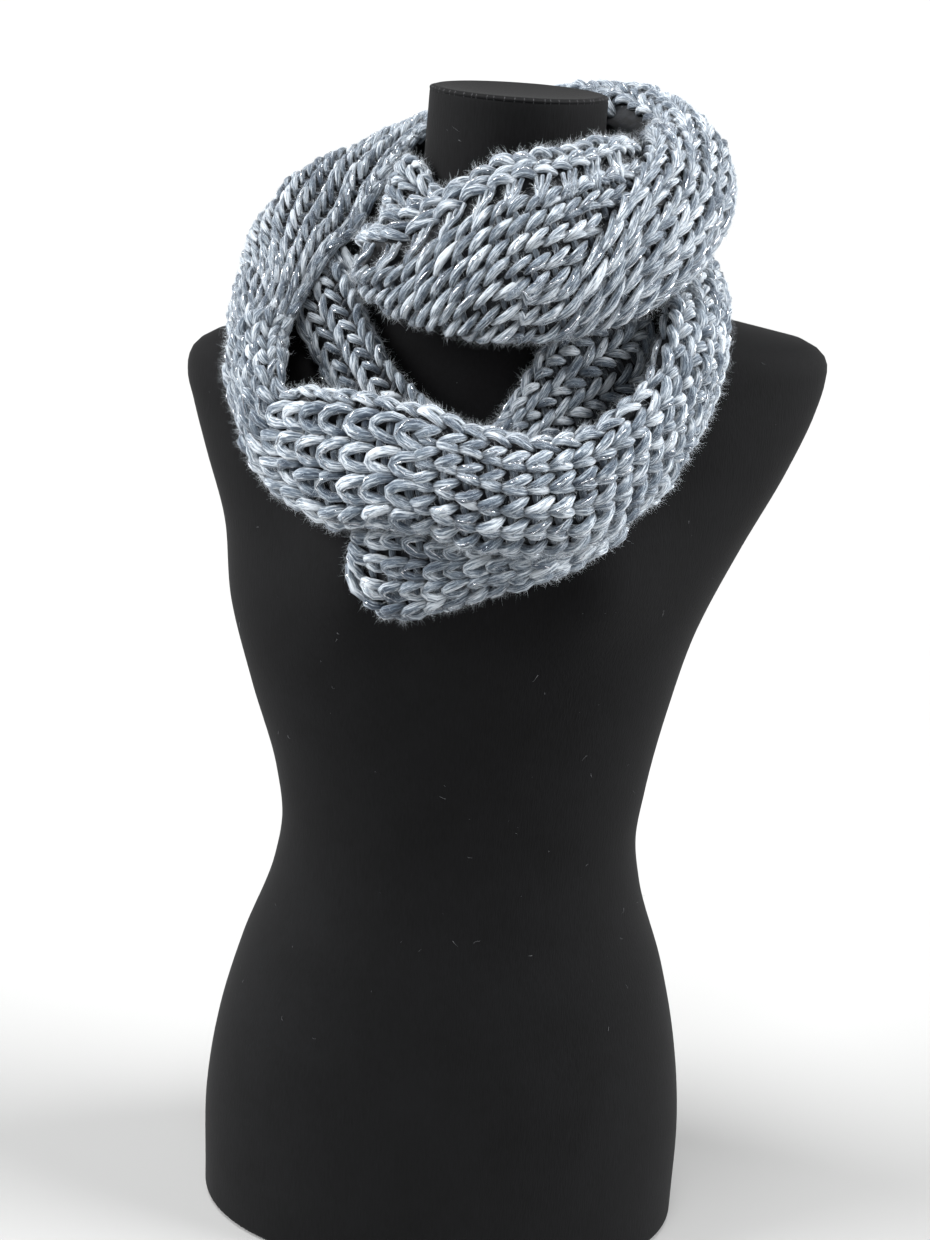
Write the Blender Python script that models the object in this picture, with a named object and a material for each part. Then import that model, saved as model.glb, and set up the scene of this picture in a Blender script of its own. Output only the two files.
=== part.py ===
"""Infinity scarf, knitted in chunky rib and wound twice, resting on a limbless dress form.

Metres, +Z up.  The form faces -Y.  The origin is under the middle of its flat base.
The tables below are in centimetres, CM turns them into metres.
"""
import math

import bmesh
import bpy
import numpy as np

CM = 0.01

# ---------------------------------------------------------------- driving dimensions
FORM_AROUND = 48          # points round one ring of the form
RIM_RADIUS = 0.6          # rounding of the form's lower rim
RIM_RINGS = 3             # steps in either rounding
NECK_RIM_RADIUS = 0.45    # rounding of the neck's top edge
NECK_RIM_TURNS = (30, 120)   # where its steps start and where the next one would be, degrees
NECK_DISH = 0.35          # how far the neck's top sinks in its middle
DISH_RINGS = (0.85, 0.5)  # rings of the sunk top, as parts of its radius
BUST_SPREAD = 8.3         # each bust apex from the middle
BUST_HEIGHT = 54.6
BUST_RISE = 2.1
BUST_WIDTH = 4.6
BUST_LENGTH = 4.4

# The form's sections: height, half width, half depth, middle x, middle y, squareness,
# and how much its right side stands higher than its left (a slope).
FORM_COLUMNS = ("z", "half_width", "half_depth", "mid_x", "mid_y", "square", "tilt")
FORM_SECTIONS = (
    (0.6, 18.35, 11.30, 0.25, 1.1, 2.25, 0.00),
    (9.3, 18.25, 11.60, 0.10, 1.2, 2.25, 0.00),
    (15.3, 17.40, 11.30, 0.05, 1.1, 2.25, 0.00),
    (21.3, 15.90, 10.40, 0.05, 0.8, 2.20, 0.00),
    (28.3, 13.60, 9.20, 0.00, 0.4, 2.15, 0.00),
    (32.3, 13.00, 8.80, -0.08, 0.2, 2.15, 0.00),
    (36.3, 13.40, 8.80, -0.20, 0.0, 2.15, 0.00),
    (43.3, 14.95, 9.40, -0.70, -0.2, 2.20, 0.00),
    (49.3, 16.40, 9.90, -0.80, -0.3, 2.25, 0.00),
    (55.3, 17.95, 10.10, 0.10, -0.2, 2.20, 0.01),
    (60.3, 19.95, 9.70, 0.65, 0.1, 2.10, 0.03),
    (63.8, 21.15, 9.00, 0.90, 0.4, 2.05, 0.045),
    (66.0, 21.65, 8.30, 0.90, 0.6, 2.05, 0.052),
    (67.1, 21.55, 7.90, 0.95, 0.6, 2.05, 0.052),
    (67.9, 21.00, 7.60, 0.95, 0.6, 2.05, 0.052),
    (68.5, 19.90, 7.35, 0.95, 0.6, 2.10, 0.052),
    (69.2, 17.20, 7.10, 0.80, 0.5, 2.05, 0.050),
    (70.0, 14.50, 6.90, 0.70, 0.4, 2.00, 0.045),
    (70.9, 12.10, 6.75, 0.70, 0.3, 2.00, 0.035),
    (72.0, 9.70, 6.60, 0.60, 0.2, 2.00, 0.020),
    (73.5, 7.90, 6.45, 0.50, 0.0, 2.00, 0.010),
    (75.5, 6.70, 6.20, 0.45, -0.3, 2.00, 0.00),
    (78.3, 6.00, 5.90, 0.45, -0.7, 2.00, 0.00),
    (81.8, 5.80, 5.80, 0.40, -0.9, 2.00, 0.00),
    (84.35, 5.75, 5.75, 0.42, -1.0, 2.00, 0.00),
)

WALL = 0.42               # thickness of the knitted wall under its ribs
RIB_RISE = 0.42           # how far a rib stands proud of the wall
RIB_ROUNDNESS = 0.6       # below 1 the ribs are rounder, with narrower valleys
SECTION_POINTS = 6        # points that a row of a table gives for its section
CURVE_STEPS = 100         # steps in which a section's curve is measured
SECTIONS_PER_ROW = 2      # sections built for each row of a table
LONG_STEP = 4.8           # the form's rows further apart than this get a ring between
STEP = 0.05               # part of a row either side that a section's direction is taken from
SMOOTH_ANGLE = 40         # edges sharper than this stay crisp
SEAM_GAP = 0.02           # part of a row kept free at each end of a stretch
RING_MIDDLE = (-0.5, -1.0)   # the upright axis that the scarf's turns are measured from

# Sections of the knitted band.  "turn" is the azimuth in degrees of the section's first
# point (0 in front, 90 on the form's left, 180 behind) and "turn_end" that of its last
# point.  Then six points from the edge at the neck, over the top and outside, to the
# lower edge: distance from the axis and height of each.
BAND_COLUMNS = ("turn", "turn_end", "r1", "z1", "r2", "z2", "r3", "z3", "r4", "z4",
                "r5", "z5", "r6", "z6")
BAND = (
    (-78, -78, 8.0, 75.2, 8.3, 75.5, 8.8, 75.2, 9.1, 74.6, 8.9, 74.0, 8.4, 73.7),
    (-64, -64, 8.3, 75.3, 8.9, 75.5, 9.6, 74.8, 9.9, 73.9, 9.6, 73.1, 8.7, 72.7),
    (-50, -50, 8.0, 76.6, 8.6, 76.9, 10.0, 75.8, 10.7, 73.9, 10.2, 72.1, 8.6, 71.9),
    (-35, -35, 7.4, 77.7, 8.0, 77.9, 9.9, 76.3, 11.0, 73.7, 10.6, 71.6, 8.8, 71.3),
    (-18, -18, 7.0, 79.2, 7.7, 79.4, 9.9, 77.5, 11.3, 74.3, 11.0, 71.3, 9.0, 71.0),
    (0, 0, 7.0, 80.7, 7.8, 80.9, 10.2, 78.6, 11.9, 74.9, 11.4, 71.1, 9.2, 70.8),
    (20, 20, 7.3, 81.3, 8.2, 81.6, 10.8, 79.3, 12.6, 75.5, 12.1, 71.4, 9.8, 71.2),
    (40, 40, 7.8, 81.9, 8.8, 82.3, 11.4, 80.0, 13.2, 76.5, 12.9, 72.7, 10.8, 72.3),
    (58, 58, 8.3, 82.1, 9.4, 82.6, 12.0, 80.9, 13.9, 77.7, 13.7, 74.2, 11.8, 73.6),
    (76, 76, 8.6, 81.6, 10.0, 82.7, 12.8, 81.9, 14.5, 79.1, 14.3, 76.1, 12.7, 75.2),
    (92, 92, 8.7, 81.6, 10.6, 83.4, 13.4, 82.8, 15.1, 80.2, 14.9, 77.5, 13.3, 76.4),
    (108, 108, 8.5, 82.2, 10.6, 84.3, 13.0, 83.7, 14.8, 80.9, 14.8, 78.3, 13.2, 76.9),
    (125, 125, 8.0, 82.9, 10.2, 84.8, 12.2, 84.1, 13.9, 81.4, 14.1, 78.6, 12.6, 76.8),
    (142, 142, 7.5, 83.4, 9.3, 84.7, 11.2, 83.9, 12.8, 81.2, 13.0, 78.4, 11.8, 76.6),
    (160, 160, 7.1, 83.2, 8.6, 84.0, 10.6, 83.0, 11.9, 80.4, 12.0, 77.6, 11.0, 76.1),
    (180, 180, 6.9, 82.8, 8.3, 83.5, 10.3, 82.3, 11.4, 79.5, 11.4, 76.9, 10.5, 75.6),
    (200, 196, 6.9, 82.3, 8.1, 82.7, 10.2, 81.5, 11.2, 78.8, 11.3, 76.1, 10.6, 74.7),
    (222, 214, 7.1, 81.2, 8.4, 81.9, 10.8, 80.7, 12.1, 77.8, 12.1, 74.7, 11.3, 73.3),
    (246, 232, 7.3, 79.7, 8.9, 80.3, 11.7, 79.5, 13.6, 76.7, 13.8, 73.4, 12.6, 71.8),
    (262, 246, 7.9, 77.8, 9.8, 78.8, 13.4, 78.3, 15.3, 75.3, 15.2, 72.2, 13.9, 70.7),
    (276, 258, 9.1, 75.4, 11.2, 76.3, 14.4, 76.3, 16.4, 73.4, 16.4, 70.9, 15.2, 69.6),
    (283, 268, 10.8, 74.0, 12.6, 74.7, 15.1, 73.7, 16.5, 71.7, 16.6, 70.3, 15.6, 69.5),
    (289, 276, 12.6, 71.6, 14.2, 72.2, 15.8, 71.5, 16.8, 70.2, 17.1, 69.2, 16.6, 68.6),
    (295, 285, 14.2, 69.3, 15.3, 69.9, 16.4, 69.2, 16.9, 67.7, 17.0, 66.2, 16.9, 65.1),
    (302, 293, 15.0, 67.6, 15.9, 67.8, 16.7, 66.5, 16.9, 64.5, 16.6, 62.6, 16.2, 61.6),
    (307, 300, 15.4, 66.0, 16.0, 65.9, 16.4, 64.3, 16.4, 62.3, 16.0, 60.5, 15.3, 59.7),
    (314, 310, 14.7, 66.5, 15.4, 66.4, 16.0, 64.7, 16.0, 62.2, 15.5, 59.9, 14.7, 58.9),
    (324, 322, 13.9, 66.7, 14.7, 66.7, 15.6, 64.9, 15.7, 62.2, 15.3, 59.7, 14.4, 58.3),
    (338, 338, 13.2, 66.5, 14.0, 66.5, 15.0, 64.5, 15.5, 62.1, 15.3, 60.2, 14.5, 59.3),
    (350, 350, 13.1, 66.3, 13.9, 66.1, 14.9, 64.0, 15.3, 61.8, 15.1, 59.9, 14.3, 59.0),
    (362, 362, 13.1, 65.4, 13.9, 65.2, 14.9, 63.3, 15.3, 61.1, 15.0, 59.2, 14.1, 58.3),
    (375, 375, 13.4, 65.2, 14.2, 65.0, 15.2, 63.1, 15.5, 61.0, 15.1, 59.0, 14.2, 58.1),
    (388, 388, 13.9, 65.8, 14.7, 65.6, 15.5, 63.7, 15.7, 61.5, 15.2, 59.4, 14.3, 58.5),
    (400, 401, 14.1, 67.8, 14.9, 67.6, 15.6, 65.6, 15.7, 63.1, 15.2, 60.9, 14.3, 59.9),
    (408, 411, 13.8, 69.6, 14.6, 69.5, 15.5, 67.3, 15.8, 64.5, 15.4, 62.3, 14.6, 61.3),
    (418, 420, 13.0, 72.3, 14.0, 72.5, 15.3, 70.3, 15.9, 67.3, 15.6, 64.9, 14.9, 63.6),
    (430, 426, 11.6, 72.6, 12.9, 73.3, 14.7, 72.6, 15.8, 70.1, 16.0, 67.7, 15.8, 66.5),
    (442, 436, 10.8, 73.7, 12.2, 74.6, 14.0, 74.3, 15.2, 72.8, 15.5, 71.4, 15.0, 70.7),
    (455, 450, 10.4, 74.2, 11.8, 75.1, 13.6, 75.0, 14.7, 73.7, 15.0, 72.6, 14.4, 71.9),
    (470, 468, 9.9, 74.3, 11.2, 75.4, 12.8, 75.3, 13.9, 74.1, 14.0, 72.9, 13.1, 72.1),
    (488, 488, 9.6, 74.2, 11.0, 75.3, 12.6, 75.0, 13.6, 73.5, 13.4, 72.1, 12.4, 71.2),
    (508, 508, 9.3, 73.8, 10.8, 74.8, 12.3, 74.3, 13.2, 72.5, 12.9, 70.7, 11.8, 69.6),
    (530, 530, 9.2, 73.3, 10.7, 74.2, 12.1, 73.7, 12.8, 71.9, 12.4, 70.1, 11.2, 68.9),
    (550, 550, 9.0, 72.9, 10.2, 73.6, 11.5, 73.0, 12.2, 71.4, 11.9, 69.8, 10.8, 68.8),
    (566, 566, 8.8, 72.5, 9.7, 73.0, 10.7, 72.5, 11.2, 71.2, 10.9, 70.0, 10.1, 69.4),
    (580, 580, 8.7, 72.3, 9.2, 72.7, 9.9, 72.3, 10.2, 71.5, 10.0, 70.8, 9.5, 70.5),
)

# Where the band is cut into the stretches that show: node, first row, last row, then how
# many ribs show across it and how many points each rib has.
STRETCHES = (
    ("upper_front", 0, 10, 8, 2),
    ("upper_back", 10, 17, 8, 2),
    ("left_outer", 17, 24, 8, 2),
    ("lower_front", 24, 34, 4, 4),
    ("right_outer", 34, 39, 4, 4),
    ("lower_back", 39, 45, 4, 4),
)

# The inner half of the left and right of the lower turn, with the same columns.
INNER_LEFT = (
    (-86, -88, 10.0, 72.6, 10.4, 73.3, 11.2, 73.0, 12.1, 72.3, 12.8, 71.6, 13.2, 71.0),
    (-74, -76, 10.0, 72.2, 10.3, 73.1, 11.1, 72.5, 12.0, 71.4, 12.6, 70.6, 12.9, 69.9),
    (-63, -65, 9.3, 70.3, 9.6, 71.3, 10.3, 70.7, 11.2, 69.4, 11.8, 68.4, 12.1, 67.6),
    (-53, -55, 9.1, 68.5, 9.4, 69.6, 10.0, 69.0, 10.8, 67.7, 11.3, 66.6, 11.5, 65.6),
    (-41, -44, 9.0, 66.9, 9.3, 67.9, 9.9, 67.3, 10.7, 66.2, 11.2, 65.1, 11.4, 64.1),
    (-26, -30, 8.9, 65.4, 9.3, 66.4, 10.0, 65.8, 10.8, 64.6, 11.2, 63.6, 11.3, 62.6),
    (-14, -16, 8.8, 64.1, 9.2, 65.1, 10.0, 64.6, 10.8, 63.5, 11.2, 62.5, 11.2, 61.5),
    (-3, -3, 8.7, 63.3, 9.1, 64.2, 9.8, 63.6, 10.4, 62.7, 10.7, 61.9, 10.7, 61.2),
)
INNER_RIGHT = (
    (0, 0, 8.6, 63.4, 9.1, 64.2, 9.8, 63.6, 10.4, 62.7, 10.7, 61.9, 10.7, 61.2),
    (7, 7, 8.5, 64.3, 9.1, 64.9, 9.7, 64.1, 10.3, 63.1, 10.7, 62.2, 10.8, 61.4),
    (15, 14, 8.3, 66.6, 8.9, 66.8, 9.5, 65.7, 10.1, 64.3, 10.6, 62.9, 10.8, 61.7),
    (28, 27, 8.0, 69.5, 8.6, 69.4, 9.5, 67.7, 10.3, 66.0, 10.9, 64.3, 11.2, 62.9),
    (42, 42, 8.5, 71.6, 9.3, 71.2, 10.3, 69.3, 11.1, 67.3, 11.7, 65.5, 12.0, 64.1),
    (54, 54, 9.2, 72.7, 10.1, 72.1, 11.2, 70.3, 12.1, 68.5, 12.7, 66.9, 13.1, 65.7),
    (64, 64, 9.4, 73.5, 10.3, 72.9, 11.1, 71.9, 12.0, 70.9, 12.7, 70.2, 13.2, 69.5),
)
NECK_LEFT = (
    (-140, -140, 6.0, 78.8, 6.3, 79.1, 6.7, 78.5, 7.0, 77.5, 7.1, 76.5, 7.1, 75.7),
    (-112, -112, 5.9, 79.0, 6.2, 79.3, 6.6, 78.7, 6.9, 77.6, 7.1, 76.6, 7.2, 75.8),
    (-86, -86, 5.7, 79.5, 6.0, 79.9, 6.6, 79.3, 7.0, 78.2, 7.2, 77.0, 7.3, 76.0),
    (-64, -64, 5.6, 79.5, 5.9, 79.9, 6.5, 79.3, 6.9, 78.1, 7.1, 76.9, 7.2, 75.8),
    (-42, -42, 5.7, 78.4, 6.0, 78.8, 6.5, 78.1, 6.8, 76.9, 6.9, 75.9, 6.9, 75.0),
    (-25, -25, 5.9, 77.4, 6.2, 77.7, 6.6, 77.0, 6.8, 75.9, 6.9, 74.9, 6.9, 74.1),
)
# The corner of the lower turn that hangs out below the front.
CORNER_FOLD = (
    (-34.5, -34.5, 12.9, 58.7, 13.2, 58.2, 13.4, 57.5, 13.4, 56.6, 13.3, 55.8, 13.0, 55.3),
    (-31, -31, 12.8, 59.5, 13.2, 58.5, 13.5, 57.0, 13.5, 55.4, 13.2, 54.0, 12.6, 53.4),
    (-25, -25, 12.7, 60.1, 13.2, 58.7, 13.5, 56.7, 13.4, 54.7, 12.9, 53.0, 12.2, 52.5),
    (-16, -16, 12.7, 60.1, 13.1, 58.7, 13.4, 56.9, 13.3, 55.1, 12.9, 53.5, 12.1, 52.9),
    (-6, -6, 12.7, 59.7, 13.1, 58.5, 13.3, 57.0, 13.2, 55.5, 12.8, 54.2, 12.0, 53.6),
    (6, 6, 12.7, 59.5, 13.2, 58.5, 13.4, 57.4, 13.3, 56.4, 12.9, 55.4, 12.2, 54.9),
    (20, 20, 12.8, 59.5, 13.3, 58.6, 13.6, 57.8, 13.6, 57.1, 13.3, 56.4, 12.7, 56.0),
    (33, 33, 12.8, 59.8, 13.2, 59.1, 13.5, 58.5, 13.7, 58.0, 13.6, 57.5, 13.1, 57.2),
    (43, 43, 12.9, 60.9, 13.2, 60.4, 13.5, 59.9, 13.8, 59.5, 13.8, 59.1, 13.5, 58.8),
)

# The stretches with a table of their own: node, table, ribs, points on each rib.
OTHER_STRETCHES = (
    ("inner_left", INNER_LEFT, 3, 2),
    ("inner_right", INNER_RIGHT, 3, 3),
    ("neck_left", NECK_LEFT, 2, 2),
    ("corner_fold", CORNER_FOLD, 3, 3),
)

SCARF_COLOUR = (0.19, 0.235, 0.285)
SCARF_ROUGHNESS = 0.82
FORM_COLOUR = (0.008, 0.008, 0.009)
FORM_ROUGHNESS = 0.88


# ---------------------------------------------------------------- smooth curves through tables
def smooth(keys, values, at):
    """Value at `at` of a smooth curve through the rows (a cubic with centred slopes)."""
    keys = np.asarray(keys, float)
    values = np.asarray(values, float)
    steps = np.diff(keys)
    rises = np.diff(values, axis=0) / steps.reshape((-1,) + (1,) * (values.ndim - 1))
    slopes = np.empty_like(values)
    slopes[0] = rises[0]
    slopes[-1] = rises[-1]
    for row in range(1, len(keys) - 1):
        before, after = steps[row - 1], steps[row]
        slopes[row] = (rises[row - 1] * after + rises[row] * before) / (before + after)
    span = int(np.clip(np.searchsorted(keys, at) - 1, 0, len(keys) - 2))
    width = steps[span]
    t = (at - keys[span]) / width
    return ((2 * t**3 - 3 * t**2 + 1) * values[span] + (t**3 - 2 * t**2 + t) * width * slopes[span]
            + (3 * t**2 - 2 * t**3) * values[span + 1] + (t**3 - t**2) * width * slopes[span + 1])


# ---------------------------------------------------------------- the dress form
def form_section(height):
    """The form's half width, half depth, middle and so on at one height."""
    keys = [row[0] for row in FORM_SECTIONS]
    rows = [row[1:] for row in FORM_SECTIONS]
    return dict(zip(FORM_COLUMNS[1:], smooth(keys, rows, height)))


def form_ring(height, inset=0.0, count=FORM_AROUND):
    """One closed ring of points round the form, counter-clockwise seen from above."""
    section = form_section(height)
    ring = []
    for step in range(count):
        angle = 2 * math.pi * step / count
        along, across = math.cos(angle), math.sin(angle)
        power = 2 / section["square"]
        x = math.copysign(abs(along) ** power, along) * (section["half_width"] - inset)
        y = math.copysign(abs(across) ** power, across) * (section["half_depth"] - inset)
        y += section["mid_y"]
        if across < 0:
            for side in (-1, 1):
                away = ((x - side * BUST_SPREAD) / BUST_WIDTH) ** 2
                away += ((height - BUST_HEIGHT) / BUST_LENGTH) ** 2
                y -= BUST_RISE * math.exp(-away) * abs(across)
        z = height + section["tilt"] * x
        ring.append((x + section["mid_x"], y, z))
    return ring


def form_heights():
    """Heights of the form's rings: its rows, and one more half way up each long step."""
    rows = [row[0] for row in FORM_SECTIONS]
    heights = []
    for low, high in zip(rows, rows[1:]):
        heights.append(low)
        if high - low > LONG_STEP:
            heights.append((low + high) / 2)
    heights.append(rows[-1])
    return heights


def rounded(radius, rings, turn_from, turn_to):
    """Steps round a quarter circle: how far in and how far from its level each ring is."""
    for ring in range(rings):
        angle = math.radians(turn_from + (turn_to - turn_from) * ring / rings)
        yield radius * (1 - math.cos(angle)), radius * math.sin(angle)


def dress_form():
    """Torso and neck in one smooth body, with a flat base and a slightly dished neck top."""
    rings = []
    foot = FORM_SECTIONS[0][0]
    for inset, drop in rounded(RIM_RADIUS, RIM_RINGS, 90, 0):
        rings.append([(x, y, foot - drop) for x, y, z in form_ring(foot, inset)])
    rings += [form_ring(height) for height in form_heights()]
    top = FORM_SECTIONS[-1][0]
    for inset, rise in rounded(NECK_RIM_RADIUS, RIM_RINGS, *NECK_RIM_TURNS):
        rings.append([(x, y, top + rise) for x, y, z in form_ring(top, inset)])
    section = form_section(top)
    mid_x, mid_y = section["mid_x"], section["mid_y"]
    for part in DISH_RINGS:
        level = top + NECK_RIM_RADIUS - NECK_DISH * (1 - part**2)
        rings.append([(mid_x + (x - mid_x) * part, mid_y + (y - mid_y) * part, level)
                      for x, y, z in form_ring(top, NECK_RIM_RADIUS)])
    middle = (mid_x, mid_y, top + NECK_RIM_RADIUS - NECK_DISH)
    verts = [point for ring in rings for point in ring] + [middle]
    count = FORM_AROUND
    faces = [list(range(count - 1, -1, -1))]
    for ring in range(len(rings) - 1):
        for step in range(count):
            after = (step + 1) % count
            faces.append((ring * count + step, ring * count + after,
                          (ring + 1) * count + after, (ring + 1) * count + step))
    last = (len(rings) - 1) * count
    faces += [(last + step, last + (step + 1) % count, len(verts) - 1) for step in range(count)]
    return verts, faces


# ---------------------------------------------------------------- the knitted band
def section_points(row, count):
    """Points spaced evenly along one section, from its first edge to its last."""
    turns = np.linspace(row[0], row[1], SECTION_POINTS)
    reach = np.array(row[2::2])
    height = np.array(row[3::2])
    keys = np.arange(float(SECTION_POINTS))
    curve = []
    for at in np.linspace(0, SECTION_POINTS - 1, CURVE_STEPS):
        turn, r, z = smooth(keys, np.stack([turns, reach, height], axis=1), at)
        angle = math.radians(turn)
        curve.append((RING_MIDDLE[0] + r * math.sin(angle), RING_MIDDLE[1] - r * math.cos(angle), z))
    curve = np.array(curve)
    travelled = np.concatenate([[0], np.cumsum(np.linalg.norm(np.diff(curve, axis=0), axis=1))])
    even = np.linspace(0, travelled[-1], count)
    return np.stack([np.interp(even, travelled, curve[:, axis]) for axis in range(3)], axis=1)


def row_at(table, at):
    return smooth(np.arange(float(len(table))), np.array(table, float), at)


def band_wall(table, first, last, ribs, rib_points):
    """The solid of one stretch: a ribbed outer face over a plain inner one."""
    count = ribs * rib_points + 1
    rows = max(2, round((last - first) * SECTIONS_PER_ROW) + 1)
    places = np.linspace(first, last, rows)
    grid = np.array([section_points(row_at(table, at), count) for at in places])
    ahead = [section_points(row_at(table, min(at + STEP, len(table) - 1)), count) for at in places]
    behind = [section_points(row_at(table, max(at - STEP, 0)), count) for at in places]
    along = np.array(ahead) - np.array(behind)
    across = np.gradient(grid, axis=1)
    out = np.cross(across, along)
    out /= np.linalg.norm(out, axis=2, keepdims=True)
    crest = [math.sin(math.pi * (step % rib_points) / rib_points) for step in range(count)]
    rise = RIB_RISE * np.array(crest) ** RIB_ROUNDNESS
    outer = grid + out * rise[None, :, None]
    inner = grid - out * WALL
    verts = []
    for row in range(rows):
        verts += [tuple(point) for point in outer[row]]
        verts += [tuple(point) for point in inner[row][::-1]]
    size = 2 * count
    faces = []
    for row in range(rows - 1):
        for step in range(size):
            after = (step + 1) % size
            faces.append((row * size + step, row * size + after,
                          (row + 1) * size + after, (row + 1) * size + step))
    for step in range(count - 1):
        cap = (step, size - 1 - step, size - 2 - step, step + 1)
        faces.append(cap)
        faces.append(tuple((rows - 1) * size + index for index in reversed(cap)))
    return verts, faces


# ---------------------------------------------------------------- objects
def material(name, colour, roughness):
    made = bpy.data.materials.new(name)
    made.use_nodes = True
    shader = made.node_tree.nodes["Principled BSDF"]
    shader.inputs["Base Color"].default_value = (*colour, 1.0)
    shader.inputs["Roughness"].default_value = roughness
    shader.inputs["Metallic"].default_value = 0.0
    return made


def add_object(name, shape, finish, collection):
    verts, faces = shape
    mesh = bpy.data.meshes.new(name)
    mesh.from_pydata([tuple(CM * value for value in point) for point in verts], [], faces)
    build = bmesh.new()
    build.from_mesh(mesh)
    bmesh.ops.triangulate(build, faces=build.faces)
    build.to_mesh(mesh)
    build.free()
    mesh.shade_smooth()
    mesh.set_sharp_from_angle(angle=math.radians(SMOOTH_ANGLE))
    mesh.materials.append(material(name, *finish))
    made = bpy.data.objects.new(name, mesh)
    collection.objects.link(made)


def main():
    for old in list(bpy.data.objects):
        bpy.data.objects.remove(old, do_unlink=True)
    collection = bpy.data.collections.new("infinity_scarf_on_dress_form")
    bpy.context.scene.collection.children.link(collection)
    knit = (SCARF_COLOUR, SCARF_ROUGHNESS)
    add_object("dress_form", dress_form(), (FORM_COLOUR, FORM_ROUGHNESS), collection)
    for name, first, last, ribs, rib_points in STRETCHES:
        shape = band_wall(BAND, first + SEAM_GAP, last - SEAM_GAP, ribs, rib_points)
        add_object(name, shape, knit, collection)
    for name, table, ribs, rib_points in OTHER_STRETCHES:
        shape = band_wall(table, SEAM_GAP, len(table) - 1 - SEAM_GAP, ribs, rib_points)
        add_object(name, shape, knit, collection)


if __name__ == "__main__":
    main()
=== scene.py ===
"""Infinity scarf in chunky ribbed knit, wound twice round a black dress form: finish and stage.

Laid out as a Blender add-on and run as a script.  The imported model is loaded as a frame, and
the operators below lay the knitting, the jersey, the silver thread and the fuzz over it.
Tables are in centimetres and CM turns them into metres.
"""
import math

import bpy
import numpy as np
from mathutils import Matrix, Vector


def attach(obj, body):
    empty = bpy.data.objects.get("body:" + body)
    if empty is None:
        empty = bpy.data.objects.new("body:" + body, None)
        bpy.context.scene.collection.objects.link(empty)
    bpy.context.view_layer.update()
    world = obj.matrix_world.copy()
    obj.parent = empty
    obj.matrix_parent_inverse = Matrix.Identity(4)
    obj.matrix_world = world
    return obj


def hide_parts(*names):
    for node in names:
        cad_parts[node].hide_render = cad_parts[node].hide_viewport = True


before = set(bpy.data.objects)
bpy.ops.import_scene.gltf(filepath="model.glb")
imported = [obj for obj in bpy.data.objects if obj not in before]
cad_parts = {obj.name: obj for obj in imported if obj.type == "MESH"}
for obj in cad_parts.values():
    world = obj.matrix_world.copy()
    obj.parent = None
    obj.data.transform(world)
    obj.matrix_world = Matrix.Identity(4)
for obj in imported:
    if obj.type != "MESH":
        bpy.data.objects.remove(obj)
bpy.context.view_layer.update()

bl_info = {
    "name": "Infinity scarf on a dress form",
    "version": (1, 0, 0),
    "blender": (4, 5, 0),
    "location": "View3D > Sidebar > Scarf",
    "description": "Knits a chunky infinity scarf round a dress form and lights it",
    "category": "Object",
}

CM = 0.01

# ---------------------------------------------------------------- the form's sections
# Height, half width, half depth, middle x, middle y, squareness, slope of the shoulders.
FORM_SECTIONS = (
    (0.6, 18.35, 11.30, 0.25, 1.1, 2.25, 0.00),
    (9.3, 18.25, 11.60, 0.10, 1.2, 2.25, 0.00),
    (15.3, 17.40, 11.30, 0.05, 1.1, 2.25, 0.00),
    (21.3, 15.90, 10.40, 0.05, 0.8, 2.20, 0.00),
    (28.3, 13.60, 9.20, 0.00, 0.4, 2.15, 0.00),
    (32.3, 13.00, 8.80, -0.08, 0.2, 2.15, 0.00),
    (36.3, 13.40, 8.80, -0.20, 0.0, 2.15, 0.00),
    (43.3, 14.95, 9.40, -0.70, -0.2, 2.20, 0.00),
    (49.3, 16.40, 9.90, -0.80, -0.3, 2.25, 0.00),
    (55.3, 17.95, 10.10, 0.10, -0.2, 2.20, 0.01),
    (60.3, 19.95, 9.70, 0.65, 0.1, 2.10, 0.03),
    (63.8, 21.15, 9.00, 0.90, 0.4, 2.05, 0.045),
    (66.0, 21.65, 8.30, 0.90, 0.6, 2.05, 0.052),
    (67.1, 21.55, 7.90, 0.95, 0.6, 2.05, 0.052),
    (67.9, 21.00, 7.60, 0.95, 0.6, 2.05, 0.052),
    (68.5, 19.90, 7.35, 0.95, 0.6, 2.10, 0.052),
    (69.2, 17.20, 7.10, 0.80, 0.5, 2.05, 0.050),
    (70.0, 14.50, 6.90, 0.70, 0.4, 2.00, 0.045),
    (70.9, 12.10, 6.75, 0.70, 0.3, 2.00, 0.035),
    (72.0, 9.70, 6.60, 0.60, 0.2, 2.00, 0.020),
    (73.5, 7.90, 6.45, 0.50, 0.0, 2.00, 0.010),
    (75.5, 6.70, 6.20, 0.45, -0.3, 2.00, 0.00),
    (78.3, 6.00, 5.90, 0.45, -0.7, 2.00, 0.00),
    (81.8, 5.80, 5.80, 0.40, -0.9, 2.00, 0.00),
    (84.35, 5.75, 5.75, 0.42, -1.0, 2.00, 0.00),
)

BUST = {"spread": 8.3, "height": 54.6, "rise": 2.1, "width": 4.6, "length": 4.4}
RIM_RADIUS = 0.6          # rounding of the form's lower rim
NECK_RIM_RADIUS = 0.45    # rounding of the neck's top edge
NECK_DISH = 0.35          # how far the neck's top sinks in its middle
FORM_AROUND = 132         # points round the form
FORM_RINGS = 170          # rings from its foot to its neck
LINT_RINGS = (45, 175)    # the rings that catch lint, from the hips to the shoulders

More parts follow.
